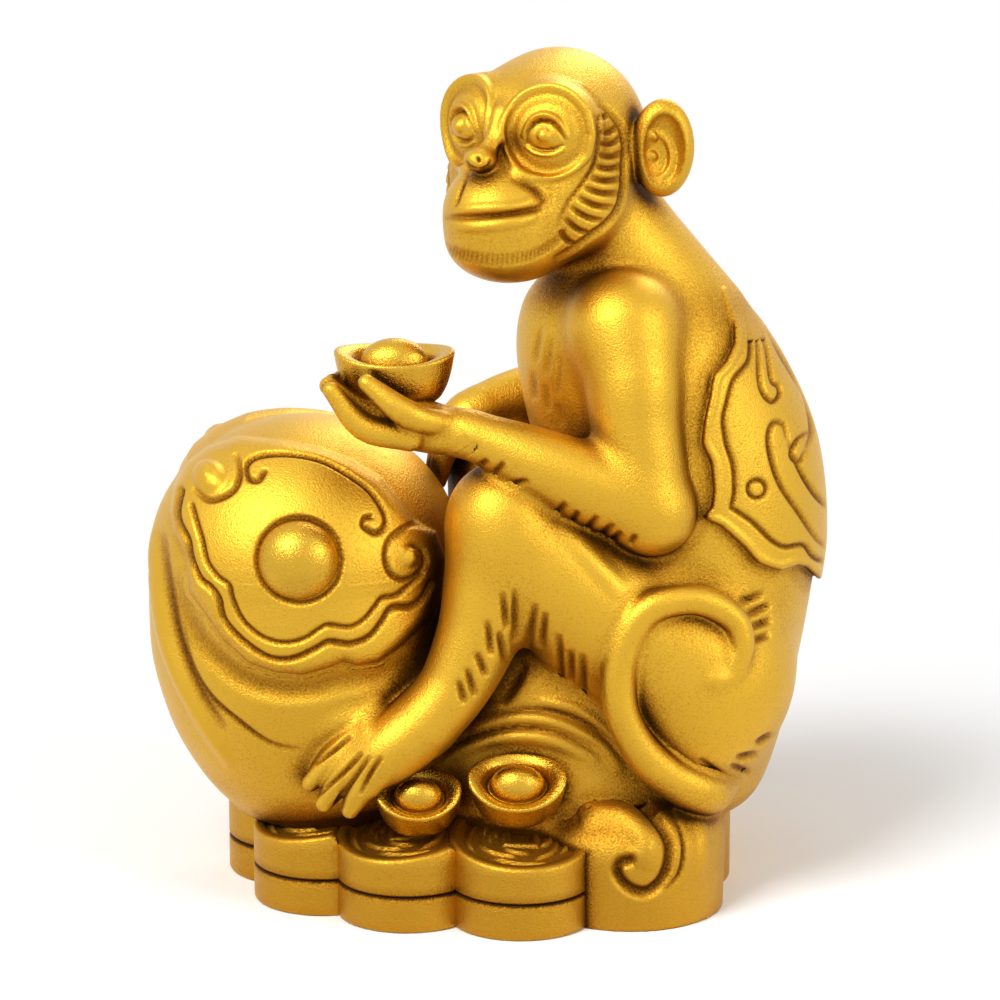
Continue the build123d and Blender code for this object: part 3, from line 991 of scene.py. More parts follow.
@dataclass
class Body:
    """Torso, neck and the cape on its back."""

    half_width: float = 18.0
    cape_thickness: float = 1.3
    cape_outline: tuple = (
        (722, 284), (727, 303), (734, 327), (734, 343), (726, 361), (714, 375), (710, 398),
        (705, 421), (703, 444), (711, 462), (714, 490), (712, 508), (704, 518), (721, 526),
        (744, 547), (758, 563), (781, 570), (797, 565), (806, 567), (823, 584), (990, 584),
        (990, 284),
    )

    def forms(self) -> list[Form]:
        """The torso and the cape."""
        levels = FIGURE.levels(BODY_LEVELS, self.half_width)
        neck = Limb(((27, -1, 80, 9.5), (22, -1, 88, 8.6), (14, -1, 97, 8.6)))
        raised = FIGURE.levels(BODY_LEVELS, self.half_width, self.cape_thickness)
        torso = Form("torso", [(levels, 1.0), (neck, 4.0)], step=0.40)
        cape = Form(
            "back_cape",
            [(Panel(raised, self.cape_outline), 1.0)],
            cuts=[(Shell(levels, PANEL_BACK), 0.1)],
            blend=0.3,
            step=0.28,
        )
        return [torso, cape]

    def engraving(self) -> dict[str, list[Sheet]]:
        """The cape's double border and plain scrolls, drawn on the side shown and mirrored."""
        border = Stroke(
            (
                (738, 296), (749, 315), (751, 340), (749, 361), (735, 379), (728, 402), (724, 421),
                (727, 444), (734, 467), (735, 492), (732, 508),
            ),
            0.6, 0.5, False,
        )
        hem = Stroke(
            (
                (732, 508), (753, 522), (772, 540), (786, 547), (804, 545), (813, 556), (823, 561),
                (850, 562), (900, 562),
            ),
            0.6, 0.5, False,
        )
        scrolls = [
            ((751, 310), (758, 340), (760, 379), (765, 395), (774, 402), (780, 395), (779, 386),
             (772, 379), (766, 345), (751, 310)),
            ((788, 441), (784, 425), (774, 423), (769, 437), (772, 460), (781, 485), (799, 512),
             (818, 540), (830, 549)),
            ((789, 442), (796, 460), (806, 480), (820, 500), (836, 512)),
            ((768, 330), (780, 352), (792, 372), (806, 398), (812, 430), (806, 450)),
            ((806, 450), (800, 462), (792, 455), (798, 440), (812, 430)),
            ((822, 420), (836, 440), (842, 470), (836, 492)),
            ((786, 340), (800, 360), (816, 384), (830, 410)),
        ]
        lines = [Stroke(points, 0.6, 0.55) for points in scrolls]
        lines.append(Stroke(circle(757.6, 489, 9), 0.5, 0.5, False, True))
        edge = Stroke(
            (
                (724, 290), (731, 312), (738, 330), (738, 346), (730, 364), (718, 378), (714, 400),
                (709, 422), (707, 444), (716, 462), (718, 490), (716, 507), (710, 516), (724, 523),
                (747, 543), (760, 558), (781, 566), (797, 561), (812, 564), (830, 576), (900, 578),
            ),
            0.8, -0.25, False,
        )
        return {"back_cape": [Sheet((border, hem, edge, *lines), Mirror.DEPTH)]}


@dataclass
class Seat:
    """The scroll-headed seat with a scalloped plaque on either side."""

    half_width: float = 22.5
    dome_shares: tuple = (-0.537, 0, 0.331)
    dome_radii: tuple = (22.2, 22.2, 20.2)
    plaque_thickness: float = 1.9
    plaque_round: float = 1.6
    pearl_shares: tuple = (-0.537, 0, 0.376)
    pearl_width_share: float = 0.915
    pearl_proud: float = 1.0
    plaque_outline: tuple = (
        (174, 486), (171, 512), (174, 530), (186, 556), (190, 592), (203, 610), (224, 640),
        (248, 662), (276, 672), (303, 674), (329, 667), (344, 661), (357, 665), (379, 661),
        (402, 644), (428, 618), (442, 590), (446, 560), (436, 532), (414, 520), (398, 500),
        (380, 478), (350, 460), (318, 448), (280, 440), (240, 436), (208, 446), (186, 462),
    )

    def mass(self, grow: float) -> Union:
        """Level ovals below and the dome of an egg above.

        Args:
            grow: How far its skin moves out.

        Returns:
            The mass.
        """
        levels = FIGURE.levels(SEAT_LEVELS, self.half_width, grow)
        radii = tuple(radius + grow for radius in self.dome_radii)
        return Union((levels, Egg(FIGURE.at(*self.dome_shares), radii)))

    def forms(self) -> list[Form]:
        """The seat and its two plaques."""
        levels = self.mass(0.0)
        raised = self.mass(self.plaque_thickness)
        forms = [Form("scroll_seat", [(levels, 1.0)], step=0.40, blend=1.5)]
        for side, name in ((-1, "left"), (1, "right")):
            forms.append(
                Form(
                    f"seat_plaque_{name}",
                    [(Panel(raised, self.plaque_outline, self.plaque_round), 1.0)],
                    cuts=[(Shell(levels, PANEL_BACK, -side), 0.1)],
                    blend=0.4,
                    step=0.25,
                )
            )
        return forms

    def engraving(self) -> dict[str, list[Sheet]]:
        """The plaque's two scalloped lines, volutes and swirl, and the ridges down the seat."""
        outer = (
            (181, 489.5), (177, 509.5), (179, 523), (187, 539), (190.5, 558), (199, 578),
            (209.5, 587), (218, 599), (223, 619), (239, 638), (262, 655), (279, 660), (296, 658),
            (315, 649.5), (329.5, 642), (350.5, 644), (369.5, 637), (382, 623), (392.6, 608),
            (411.6, 606), (424, 597), (431.6, 583),
        )
        inner = (
            (191.6, 505), (197, 524), (202, 541), (207, 562), (218, 577), (228.4, 585),
            (232.6, 600), (243, 621), (262, 637), (283, 643), (304, 639), (321, 628),
            (329.5, 625), (350.5, 627), (365, 619), (376, 606), (383, 598), (397, 595),
            (411.6, 584), (422, 575),
        )
        swirl = (
            (264, 471.6), (258, 480), (248.4, 478), (246.3, 465.3), (258, 456), (287.4, 453.7),
            (321, 460), (350.5, 475.8), (371.6, 492.6), (385, 513.7), (385, 526), (375.8, 532.6),
            (364, 526), (365, 518), (371, 516),
        )
        left_volute = ((234.7, 452.6), (240, 471.6), (232, 491), (209.5, 500), (192.6, 488))
        right_volute = (
            (430.5, 528), (411.6, 525), (392, 538), (386, 556), (391, 573), (405, 580),
            (420, 573), (426, 560), (421, 549), (408, 547), (402, 557),
        )
        lines = (
            Stroke(outer, 0.75, 0.7, False),
            Stroke(inner, 0.6, 0.5, False),
            Stroke(swirl, 0.65, 0.55, False),
            Stroke(left_volute, 0.7, 0.6),
            Stroke(right_volute, 0.7, 0.6),
            Stroke(circle(209.5, 476, 7), 1.7, -1.1, False, True),
            Stroke(((209, 474), (210, 478)), 2.2, -1.5, False),
            Stroke(circle(299.5, 560, 43), 0.6, 0.5, False, True),
            Stroke(((408, 553), (410, 558)), 1.6, -0.9, False),
        )
        seat_lines = (
            Stroke(
                ((150, 500), (151, 545), (158, 600), (167, 645), (185, 690), (209, 733),
                 (232, 766)), 1.3, -0.9
            ),
            Stroke(((162, 530), (170, 591), (180, 640), (200, 690), (226, 730)), 1.0, 0.5),
            Stroke(
                ((179, 611), (190, 661), (209, 695), (238, 721), (270, 743), (305, 750)), 0.7, 0.4
            ),
            Stroke(
                ((172, 570), (182, 606), (203, 645), (240, 678), (275, 690), (310, 690),
                 (345, 682), (380, 678), (412, 660)), 2.4, 0.9, True, False, 0.6
            ),
        )
        plaque = Sheet(lines, Mirror.DEPTH)
        return {
            "seat_plaque_left": [plaque],
            "seat_plaque_right": [plaque],
            "scroll_seat": [Sheet(seat_lines, Mirror.DEPTH)],
        }


@dataclass
class Ground:
    """The rising ground under the monkey and the cloud lobes behind the coins."""

    cloud_radius: float = 13.5
    cloud_height: float = 16.0
    cloud_x: float = 19.9
    cloud_y: float = 13.6

    def forms(self) -> list[Form]:
        """The mound and both clouds."""
        levels = FIGURE.levels(GROUND_LEVELS, GROUND_HALF_WIDTH)
        mound = Form("ground_mound", [(levels, 1.0)], blend=3.0, step=0.40)
        radius = self.cloud_radius
        rows = tuple(
            (height * self.cloud_height, -share * radius, share * radius, share * radius)
            for height, share in ((0, 0.99), (0.3, 1.0), (0.65, 1.0), (0.85, 0.9), (1.0, 0.68))
        )
        forms = [mound]
        for name, mirrored in SIDES:
            forms.append(
                Form(
                    f"cloud_{name}",
                    [(Levels(rows), 1.0)],
                    blend=1.8,
                    step=0.32,
                    axes=Axes((self.cloud_x, -self.cloud_y, 0)),
                    mirrored=mirrored,
                    floor=0.0,
                )
            )
        return forms

    def engraving(self) -> dict[str, list[Sheet]]:
        """The cloud's curl, and the long waves of the ground."""
        curl = (
            (565, 812), (583, 797), (606, 792), (629, 796), (652, 815), (668, 838), (670, 858),
            (663, 879), (647, 892), (629, 888), (617, 874), (620, 863), (630, 860),
        )
        outer = ((668, 804), (679, 826), (684, 849), (679, 874), (663, 893))
        lines = (
            Stroke(curl, 1.2, 1.2, False),
            Stroke(outer, 0.6, 0.4),
            Stroke(((578, 816), (604, 811), (630, 820), (646, 842), (641, 868)), 2.6, -1.1),
            Stroke(((690, 806), (705, 840), (700, 880)), 1.2, -0.3),
        )
        sheet = Sheet(lines, Mirror.DEPTH)
        waves = (
            Stroke(((436, 770), (466, 748), (504, 737), (550, 740), (600, 760)), 1.7, -0.8),
            Stroke(((470, 728), (508, 719), (552, 722), (598, 742), (622, 770)), 1.5, -0.7),
            Stroke(((540, 702), (575, 708), (606, 730), (628, 756)), 1.3, -0.6),
            Stroke(((440, 758), (468, 738), (506, 728), (551, 731), (601, 751)), 0.7, 0.3),
            Stroke(((500, 709), (545, 709), (585, 722), (618, 748)), 0.7, 0.3),
            Stroke(((522, 660), (514, 680), (498, 702)), 1.6, 1.0),
        )
        ground = Sheet(waves, Mirror.DEPTH)
        return {"cloud_left": [sheet], "cloud_right": [sheet], "ground_mound": [ground]}


@dataclass
class Legs:
    """Both legs, with the haunch, thigh, knee, shin and a foot of four toes."""

    thigh_girth: float = 11.0
    shin_girth: float = 6.4
    foot_girth: float = 5.0
    toe_girth: float = 2.4

    def forms(self) -> list[Form]:
        """A leg and a foot on either side."""
        thigh = FIGURE.limb(
            [
                (0.66, -0.32, 0.207, 0.95), (0.48, -0.40, 0.251, 1.04), (0.28, -0.48, 0.312, 0.96),
                (0.12, -0.53, 0.378, 0.78), (0.04, -0.55, 0.422, 0.60),
            ],
            self.thigh_girth,
        )
        shin = FIGURE.limb(
            [
                (0.05, -0.55, 0.428, 0.95), (0.02, -0.58, 0.361, 1.05), (-0.02, -0.62, 0.284, 0.92),
                (-0.09, -0.66, 0.213, 0.78), (-0.17, -0.69, 0.163, 0.66),
            ],
            self.shin_girth,
        )
        haunch = Egg(FIGURE.at(0.600, -0.355, 0.193), (12.8, 13.2, 15.8))
        knee = Egg(FIGURE.at(0.045, -0.55, 0.415), (7.4, 7.4, 7.4))
        sole = FIGURE.limb(
            [
                (-0.13, -0.68, 0.191, 0.80), (-0.20, -0.70, 0.158, 0.93),
                (-0.29, -0.72, 0.125, 0.93), (-0.37, -0.73, 0.10, 0.60),
            ],
            self.foot_girth,
        )
        toe_rows = [
            [(-0.33, -0.64, 0.165, 1.0), (-0.42, -0.64, 0.160, 0.85), (-0.50, -0.62, 0.145, 0.5)],
            [(-0.34, -0.68, 0.155, 1.0), (-0.43, -0.70, 0.120, 0.85), (-0.51, -0.70, 0.083, 0.5)],
            [(-0.33, -0.72, 0.145, 1.0), (-0.41, -0.745, 0.10, 0.85), (-0.47, -0.745, 0.06, 0.5)],
            [(-0.3, -0.75, 0.135, 1.0), (-0.355, -0.785, 0.09, 0.85), (-0.395, -0.785, 0.055, 0.5)],
            [(-0.27, -0.77, 0.14, 0.95), (-0.305, -0.80, 0.11, 0.8), (-0.335, -0.80, 0.085, 0.5)],
        ]
        toes = [(FIGURE.limb(row, self.toe_girth), 0.8) for row in toe_rows]
        forms = []
        for name, mirrored in SIDES:
            forms.append(
                Form(
                    f"leg_{name}",
                    [(haunch, 1.0), (thigh, 5.0), (knee, 3.0), (shin, 3.0)],
                    blend=2.5,
                    step=0.34,
                    mirrored=mirrored,
                )
            )
            forms.append(
                Form(f"foot_{name}", [(sole, 1.0), *toes], blend=1.6, step=0.22, mirrored=mirrored)
            )
        return forms

    def engraving(self) -> dict[str, list[Sheet]]:
        """Fur strokes on the leg, the flank and the chest, and the gaps between the toes."""
        notches = (
            ((458, 680), (465, 704)), ((466, 668), (476, 697)), ((476, 652), (487, 677)),
            ((487, 620), (492, 656)), ((499, 632), (507, 662)), ((502, 592), (508, 630)),
            ((514, 588), (516, 642)), ((535, 603), (527, 652)), ((545, 612), (540, 648)),
            ((558, 634), (561, 690)), ((570, 650), (571, 684)), ((582, 654), (584, 702)),
            ((739, 601), (764, 594)), ((747, 614), (771, 604)), ((751, 627), (772, 619)),
            ((752, 641), (770, 634)), ((668, 750), (706, 778)), ((698, 760), (730, 782)),
            ((730, 766), (752, 774)), ((736, 759), (758, 754)), ((756, 745), (773, 734)),
        )
        fur = [Stroke(ends, 0.85, 0.6) for ends in notches]
        hairs = (
            ((540, 326), (535, 362)), ((551, 338), (547, 374)), ((560, 356), (557, 396)),
            ((545, 384), (549, 412)), ((558, 404), (563, 428)), ((533, 372), (535, 400)),
        )
        chest = [Stroke(ends, 0.8, 0.2, True, False, 0.4) for ends in hairs]
        ridge = Stroke(((560, 520), (590, 556), (625, 595)), 2.2, -0.5)
        sheet = Sheet((*fur, ridge), Mirror.DEPTH)
        gaps = (
            ((350, 736), (334, 750), (314, 764)), ((362, 752), (342, 774), (316, 796)),
            ((370, 756), (350, 784), (335, 806)), ((382, 756), (369, 776), (360, 796)),
        )
        foot = Sheet(tuple(Stroke(points, 0.55, 0.6) for points in gaps), Mirror.DEPTH)
        return {
            "leg_left": [sheet], "leg_right": [sheet], "foot_left": [foot], "foot_right": [foot],
            "torso": [Sheet((*fur, *chest), Mirror.DEPTH)],
        }


@dataclass
class Arms:
    """The left arm holds out the ingot, the right hand rests on the right knee."""

    arm_girth: float = 6.2
    forearm_girth: float = 5.4
    palm_girth: float = 4.2
    finger_girth: float = 1.7

    def arm(self, node: str, shoulder: tuple, upper: list, forearm: list) -> Form:
        """Shoulder, upper arm, elbow and forearm melted into one.

        Args:
            node: The CAD node.
            shoulder: Place shares of the shoulder's middle.
            upper: Rows of the upper arm.
            forearm: Rows of the forearm.

        Returns:
            The form.
        """
        return Form(
            node,
            [
                (Egg(FIGURE.at(*shoulder), (8.0, 8.0, 8.0)), 1.0),
                (FIGURE.limb(upper, self.arm_girth), 3.0),
                (Egg(FIGURE.at(*upper[-1][:3]), (5.5, 5.5, 5.5)), 1.5),
                (FIGURE.limb(forearm, self.forearm_girth), 2.5),
            ],
            blend=1.6,
            step=0.31,
        )

    def hand(self, node: str, palm: list, fingers: list) -> Form:
        """A palm with its fingers melted on.

        Args:
            node: The CAD node.
            palm: Rows of the palm.
            fingers: Rows of each finger.

        Returns:
            The form.
        """
        rows = [(FIGURE.limb(row, self.finger_girth), 0.7) for row in fingers]
        return Form(
            node, [(FIGURE.limb(palm, self.palm_girth * 0.85), 1.0), *rows], blend=1.2, step=0.22
        )

    def forms(self) -> list[Form]:
        """Both arms and hands."""
        left = self.arm(
            "arm_left",
            (0.385, -0.37, 0.655),
            [
                (0.396, -0.40, 0.652, 1.16), (0.414, -0.50, 0.596, 1.10),
                (0.424, -0.548, 0.541, 1.0), (0.455, -0.605, 0.459, 0.90),
                (0.466, -0.61, 0.431, 0.82),
            ],
            [
                (0.476, -0.613, 0.436, 0.90), (0.331, -0.629, 0.463, 1.04),
                (0.166, -0.639, 0.495, 0.91), (0.021, -0.629, 0.523, 0.69),
                (-0.062, -0.613, 0.535, 0.61),
            ],
        )
        left_hand = self.hand(
            "hand_left",
            [
                (-0.041, -0.613, 0.534, 0.80), (-0.145, -0.581, 0.539, 0.98),
                (-0.248, -0.548, 0.55, 1.05), (-0.311, -0.532, 0.562, 0.80),
            ],
            [
                [
                    (-0.09, -0.62, 0.545, 0.9), (-0.22, -0.72, 0.566, 1.15),
                    (-0.34, -0.71, 0.606, 0.7),
                ],
                [
                    (-0.22, -0.67, 0.535, 1.2), (-0.35, -0.68, 0.548, 1.1),
                    (-0.44, -0.67, 0.594, 0.7),
                ],
                [
                    (-0.26, -0.585, 0.555, 1), (-0.365, -0.585, 0.567, 1),
                    (-0.45, -0.575, 0.594, 0.75),
                ],
                [(-0.26, -0.49, 0.555, 1), (-0.36, -0.49, 0.567, 1), (-0.44, -0.48, 0.592, 0.75)],
                [(-0.26, -0.40, 0.555, 1), (-0.345, -0.39, 0.567, 1), (-0.42, -0.38, 0.59, 0.75)],
            ],
        )
        right = self.arm(
            "arm_right",
            (0.385, 0.39, 0.655),
            [
                (0.391, 0.43, 0.652, 1.14), (0.373, 0.516, 0.596, 1.05),
                (0.311, 0.597, 0.541, 0.95), (0.248, 0.629, 0.514, 0.86),
            ],
            [
                (0.259, 0.629, 0.509, 0.93), (0.145, 0.581, 0.509, 0.85),
                (0.041, 0.516, 0.505, 0.70), (0, 0.484, 0.50, 0.63),
            ],
        )
        right_hand = self.hand(
            "hand_right",
            [
                (0.01, 0.484, 0.50, 0.79), (-0.052, 0.452, 0.491, 1.0),
                (-0.114, 0.435, 0.468, 0.81),
            ],
            [
                [(-0.08, 0.32, 0.475, 1.0), (-0.13, 0.31, 0.445, 1.0), (-0.15, 0.31, 0.41, 0.75)],
                [(-0.09, 0.41, 0.475, 1.0), (-0.14, 0.41, 0.445, 1.0), (-0.165, 0.41, 0.405, 0.75)],
                [(-0.09, 0.50, 0.475, 1.0), (-0.14, 0.50, 0.445, 1.0), (-0.165, 0.50, 0.405, 0.75)],
                [(-0.08, 0.59, 0.475, 1.0), (-0.125, 0.60, 0.445, 1.0), (-0.145, 0.60, 0.41, 0.75)],
            ],
        )
        return [left, right, left_hand, right_hand]

    def engraving(self) -> dict[str, list[Sheet]]:
        """Fur strokes under the forearm and round the elbow."""
        notches = (
            ((434, 441), (461, 431)), ((445, 449), (467, 439)), ((458, 458), (478, 445)),
            ((474, 471), (488, 460)), ((491, 478), (504, 462)), ((501, 487), (529, 481)),
            ((549, 521), (566, 503)), ((570, 526), (578, 511)), ((580, 537), (598, 516)),
            ((591, 544), (614, 524)), ((605, 546), (622, 532)), ((629, 545), (636, 535)),
        )
        fur = tuple(Stroke(ends, 0.75, 0.55) for ends in notches)
        return {"arm_left": [Sheet(fur)], "arm_right": [Sheet(fur, Mirror.DEPTH)]}


@dataclass
class Tail:
    """The tail, curled up and over beside the haunch."""

    girth: float = 2.6

    def forms(self) -> list[Form]:
        """One tapered limb along the curl."""
        rows = [
            (0.650, -0.30, 0.075, 1.2), (0.655, -0.48, 0.058, 1.25), (0.613, -0.613, 0.066, 1.30),
            (0.518, -0.70, 0.094, 1.15), (0.435, -0.755, 0.134, 1.0), (0.383, -0.78, 0.183, 0.92),
            (0.373, -0.775, 0.236, 0.92), (0.398, -0.765, 0.282, 0.92),
            (0.455, -0.755, 0.317, 0.85), (0.547, -0.73, 0.328, 0.80), (0.631, -0.71, 0.322, 0.78),
            (0.706, -0.69, 0.297, 0.70), (0.727, -0.695, 0.263, 0.65), (0.694, -0.71, 0.231, 0.60),
            (0.650, -0.74, 0.225, 0.62),
        ]
        return [Form("tail", [(FIGURE.limb(rows, self.girth), 1.0)], blend=1.0, step=0.24)]


@dataclass
class Head:
    """Brain case, eye discs, muzzle, chin, nose and ears, in the head's own frame."""

    eye: tuple = (10.6, 6.35, 3.3)
    eye_turn: float = 14.0

    def forms(self) -> list[Form]:
        """The head and both ears."""
        x, y, z = self.eye
        adds = [
            (Egg((-0.5, 0, 0), (12.9, 12.4, 13.0)), 1.0),
            (Egg((6.0, 0, 4.0), (7.6, 10.4, 6.6)), 3.0),
            (Egg((11.0, 0, -8.0), (10.4, 8.6, 7.6)), 3.5),
            (Egg((10.8, 0, -12.5), (9.3, 8.2, 5.5)), 3.0),
        ]
        for side in (-1, 1):
            adds.append((Egg((5.0, side * 8.0, -6.0), (6.4, 5.4, 7.8)), 4.0))
            turn = side * self.eye_turn
            adds.append((Egg((x - 1.7, side * y, z), (3.4, 6.6, 6.6), turn), 2.0))
        adds.append((Limb(((13.6, 0, 5.6, 0.6), (15.2, 0, 2.6, 0.8), (17.2, 0, 0.2, 1.3))), 2.5))
        adds.append((Egg((18.4, 0, -0.1), (2.0, 2.1, 1.6)), 0.8))
        head = Form("head", adds, blend=2.0, step=0.24, axes=HEAD)
        forms = [head]
        for side, name in ((1, "left"), (-1, "right")):
            turn = side * 40.0
            c, s = math.cos(math.radians(turn)), math.sin(math.radians(turn))
            place = (-3.7, side * 15.3, 0.0)
            bowl = (place[0] + 2.4 * c, place[1] + 2.4 * s, 0.0)
            forms.append(
                Form(
                    f"ear_{name}",
                    [(Egg(place, (2.6, 4.4, 6.8), turn), 1.0)],
                    cuts=[(Egg(bowl, (2.6, 2.9, 5.2), turn), 0.6)],
                    blend=0.8,
                    step=0.20,
                    axes=HEAD,
                )
            )
        return forms

    def engraving(self) -> dict[str, list[Sheet]]:
        """Eye discs with rims, lids and balls, the mouth, the chin's fur and the cheek tufts."""
        x, y, z = self.eye
        sheets = []
        for side in (-1, 1):
            strokes = (
                Stroke(circle(0, 0, 6.1), 0.75, -0.7, False, True),
                Stroke(circle(0, 0, 5.0), 1.2, 0.3, False, True, 0.25),
                Stroke(((-0.9, -0.2), (0.9, -0.2)), 2.5, -0.75, False),
                Stroke(((-0.1, -0.1), (0.1, -0.1)), 1.8, -1.35, False),
                Stroke(((-2.9, -0.8), (-1.7, 1.2), (0, 1.9), (1.7, 1.2), (2.9, -0.8)), 0.35, 0.6),
                Stroke(((-3.2, -0.7), (-1.9, 1.8), (0, 2.6), (1.9, 1.8), (3.2, -0.7)), 0.6, -0.95),
                Stroke(((-2.7, -1.2), (-1.3, -1.9), (0, -2.1), (1.3, -1.9), (2.7, -1.2)), 0.3, 0.5),
                Stroke(
                    ((-2.9, -1.8), (-1.4, -2.6), (0, -2.8), (1.4, -2.6), (2.9, -1.8)), 0.45, -0.7
                ),
            )
            plane = (x, side * y, z)
            sheets.append(Sheet(strokes, plane=plane, turn=side * self.eye_turn))
        face = [
            Stroke(
                ((443, 218), (470, 217), (496, 215), (520, 212), (539, 208), (546, 200)), 0.75, 0.9
            ),
            Stroke(((446, 226), (480, 227), (515, 223), (538, 216)), 1.1, -0.4),
            Stroke(((450, 210), (480, 208), (515, 206), (534, 199)), 1.0, -0.3),
            Stroke(((472, 166), (462, 188), (455, 208)), 0.5, 0.3),
            Stroke(((478, 158), (479, 161)), 0.45, 0.7, False),
            Stroke(((465, 160), (470, 167), (478, 170)), 0.45, 0.35),
            Stroke(((479, 170), (488, 167), (492, 159)), 0.45, 0.35),
            Stroke(((546, 188), (551, 198), (549, 209)), 1.0, 0.3, True, False, 0.4),
            Stroke(((510, 176), (535, 190), (546, 206)), 1.2, 0.25),
        ]
        jaw = ((447, 243), (468, 250), (498, 254), (528, 250), (551, 240), (566, 228))
        for x, y in spline(np.float32(jaw), 6):
            face.append(Stroke(((x, y), (x - 1.5, y + 13)), 0.38, 0.26, True, False, 0.5))
        sheets.append(Sheet(tuple(face)))
        cheek = [
            Stroke(
                ((598, 104), (608, 110), (621, 126), (626, 145), (625, 164), (624, 187), (619, 208),
                 (607, 224), (592, 235), (572, 250), (554, 260)), 0.8, 0.8
            ),
            Stroke(
                ((595, 112), (598, 122), (599, 140), (594, 165), (580, 186), (566, 205),
                 (556, 232)), 0.7, 0.3
            ),
        ]
        roots = (
            ((598, 118), (612, 110)), ((599, 133), (621, 125)),
            ((600, 144), (624, 137)), ((599, 155), (626, 151)), ((596, 166), (625, 164)),
            ((590, 177), (624, 178)), ((584, 187), (622, 193)), ((577, 197), (615, 208)),
            ((570, 207), (604, 222)), ((564, 218), (592, 236)), ((560, 230), (578, 248)),
        )
        for start, end in roots:
            middle = ((start[0] + end[0]) / 2, (start[1] + end[1]) / 2 + 3)
            cheek.append(Stroke((start, middle, end), 0.65, 0.75))
        sheets.append(Sheet(tuple(cheek), Mirror.HEAD))
        ear = (
            Stroke(((655, 130), (668, 142), (672, 160), (666, 174), (655, 180)), 0.8, -0.6),
            Stroke(((652.5, 135), (653.5, 136)), 1.0, -0.8, False),
            Stroke(((652, 155), (653, 156)), 0.9, -0.7, False),
        )
        ears = [Sheet(ear, Mirror.HEAD)]
        return {"head": sheets, "ear_left": ears, "ear_right": ears}


def grid_faces(rows: int, columns: int) -> np.ndarray:
    """Quads of a grid whose columns come back to the first one.

    Args:
        rows: Points along the profile.
        columns: Points round.

    Returns:
        Vertex numbers, four a face.
    """
    number = np.arange(rows * columns).reshape(rows, columns)
    beside = np.roll(number, -1, 1)
    return np.stack([number[:-1], beside[:-1], beside[1:], number[1:]], 2).reshape(-1, 4)


def build_mesh(
    name: str, vertices: np.ndarray, quads: np.ndarray, shade: np.ndarray | None = None
) -> bpy.types.Object:
    """Puts whole arrays into a smooth mesh.

    Args:
        name: The piece's name.
        vertices: Places in millimetres.
        quads: Vertex numbers, with a repeated last one where a face is a triangle.
        shade: Painted shade at each vertex, as a hollow's depth.

    Returns:
        The piece, at the origin.
    """
    mesh = bpy.data.meshes.new(name)
    triangle = (quads[:, 2] == quads[:, 3]) | (quads[:, 0] == quads[:, 3])
    loops = np.concatenate([quads[~triangle].ravel(), quads[triangle, :3].ravel()])
    sizes = np.repeat([4, 3], [(~triangle).sum(), triangle.sum()]).astype(np.int32)
    starts = np.concatenate([[0], np.cumsum(sizes)[:-1]]).astype(np.int32)
    mesh.vertices.add(len(vertices))
    mesh.vertices.foreach_set("co", (vertices * MM).astype(np.float32).ravel())
    mesh.loops.add(len(loops))
    mesh.loops.foreach_set("vertex_index", loops.astype(np.int32))
    mesh.polygons.add(len(sizes))
    mesh.polygons.foreach_set("loop_start", starts)
    mesh.polygons.foreach_set("use_smooth", np.ones(len(sizes), bool))
    mesh.update(calc_edges=True)
    mesh.validate()
    if shade is not None:
        # Painted shade, kept for the material to darken the colour with
        layer = mesh.attributes.new("crevice_shade", "FLOAT", "POINT")
        layer.data.foreach_set("value", shade.astype(np.float32))
    piece = bpy.data.objects.new(name, mesh)
    bpy.context.scene.collection.objects.link(piece)
    return piece


def turned_grid(rows: np.ndarray, columns: int) -> Pair:
    """A profile of radius and height carried round an upright axis, with its poles closed.

    A point is (r cos t, r sin t, h) for the turn t; rows whose radius is zero are poles, where the
    ring of points is drawn together and the quads become triangles.

    Args:
        rows: Radius and height along the profile, from the bottom outwards and up.
        columns: Steps round.

    Returns:
        Vertices as rows by columns by 3, and quads.
    """
    turns = np.arange(columns) * math.tau / columns
    radius, height = rows[:, :1], rows[:, 1:2]
    x, y = radius * np.cos(turns), radius * np.sin(turns)
    return np.stack([x, y, np.broadcast_to(height, x.shape)], 2), grid_faces(len(rows), columns)


def close_poles(grid: np.ndarray, quads: np.ndarray) -> Pair:
    """Draws the first and last rings of a grid together into one point each.

    Args:
        grid: Vertices as rows by columns by 3.
        quads: Its quads.

    Returns:
        The vertices still in use, and quads with a repeated last number where a face is a triangle.
    """
    rows, columns = grid.shape[:2]
    points = grid.reshape(-1, 3)
    number = np.arange(rows * columns)
    number[:columns] = 0
    number[-columns:] = (rows - 1) * columns
    quads = number[quads]
    kept, places = np.unique(quads, return_inverse=True)
    quads = places.reshape(quads.shape)
    top = quads[:, 2] == quads[:, 3]
    bottom = quads[:, 0] == quads[:, 1]
    quads[bottom] = quads[bottom][:, [0, 2, 3, 3]]
    quads[top, 3] = quads[top, 2]
    return points[kept], quads


def ring_shade(along: np.ndarray, columns: int) -> np.ndarray:
    """Painted shade depths along a profile given to every vertex of its closed grid, with none at
    the poles.
    """
    return np.concatenate([[0.0], np.repeat(along[1:-1], columns), [0.0]])


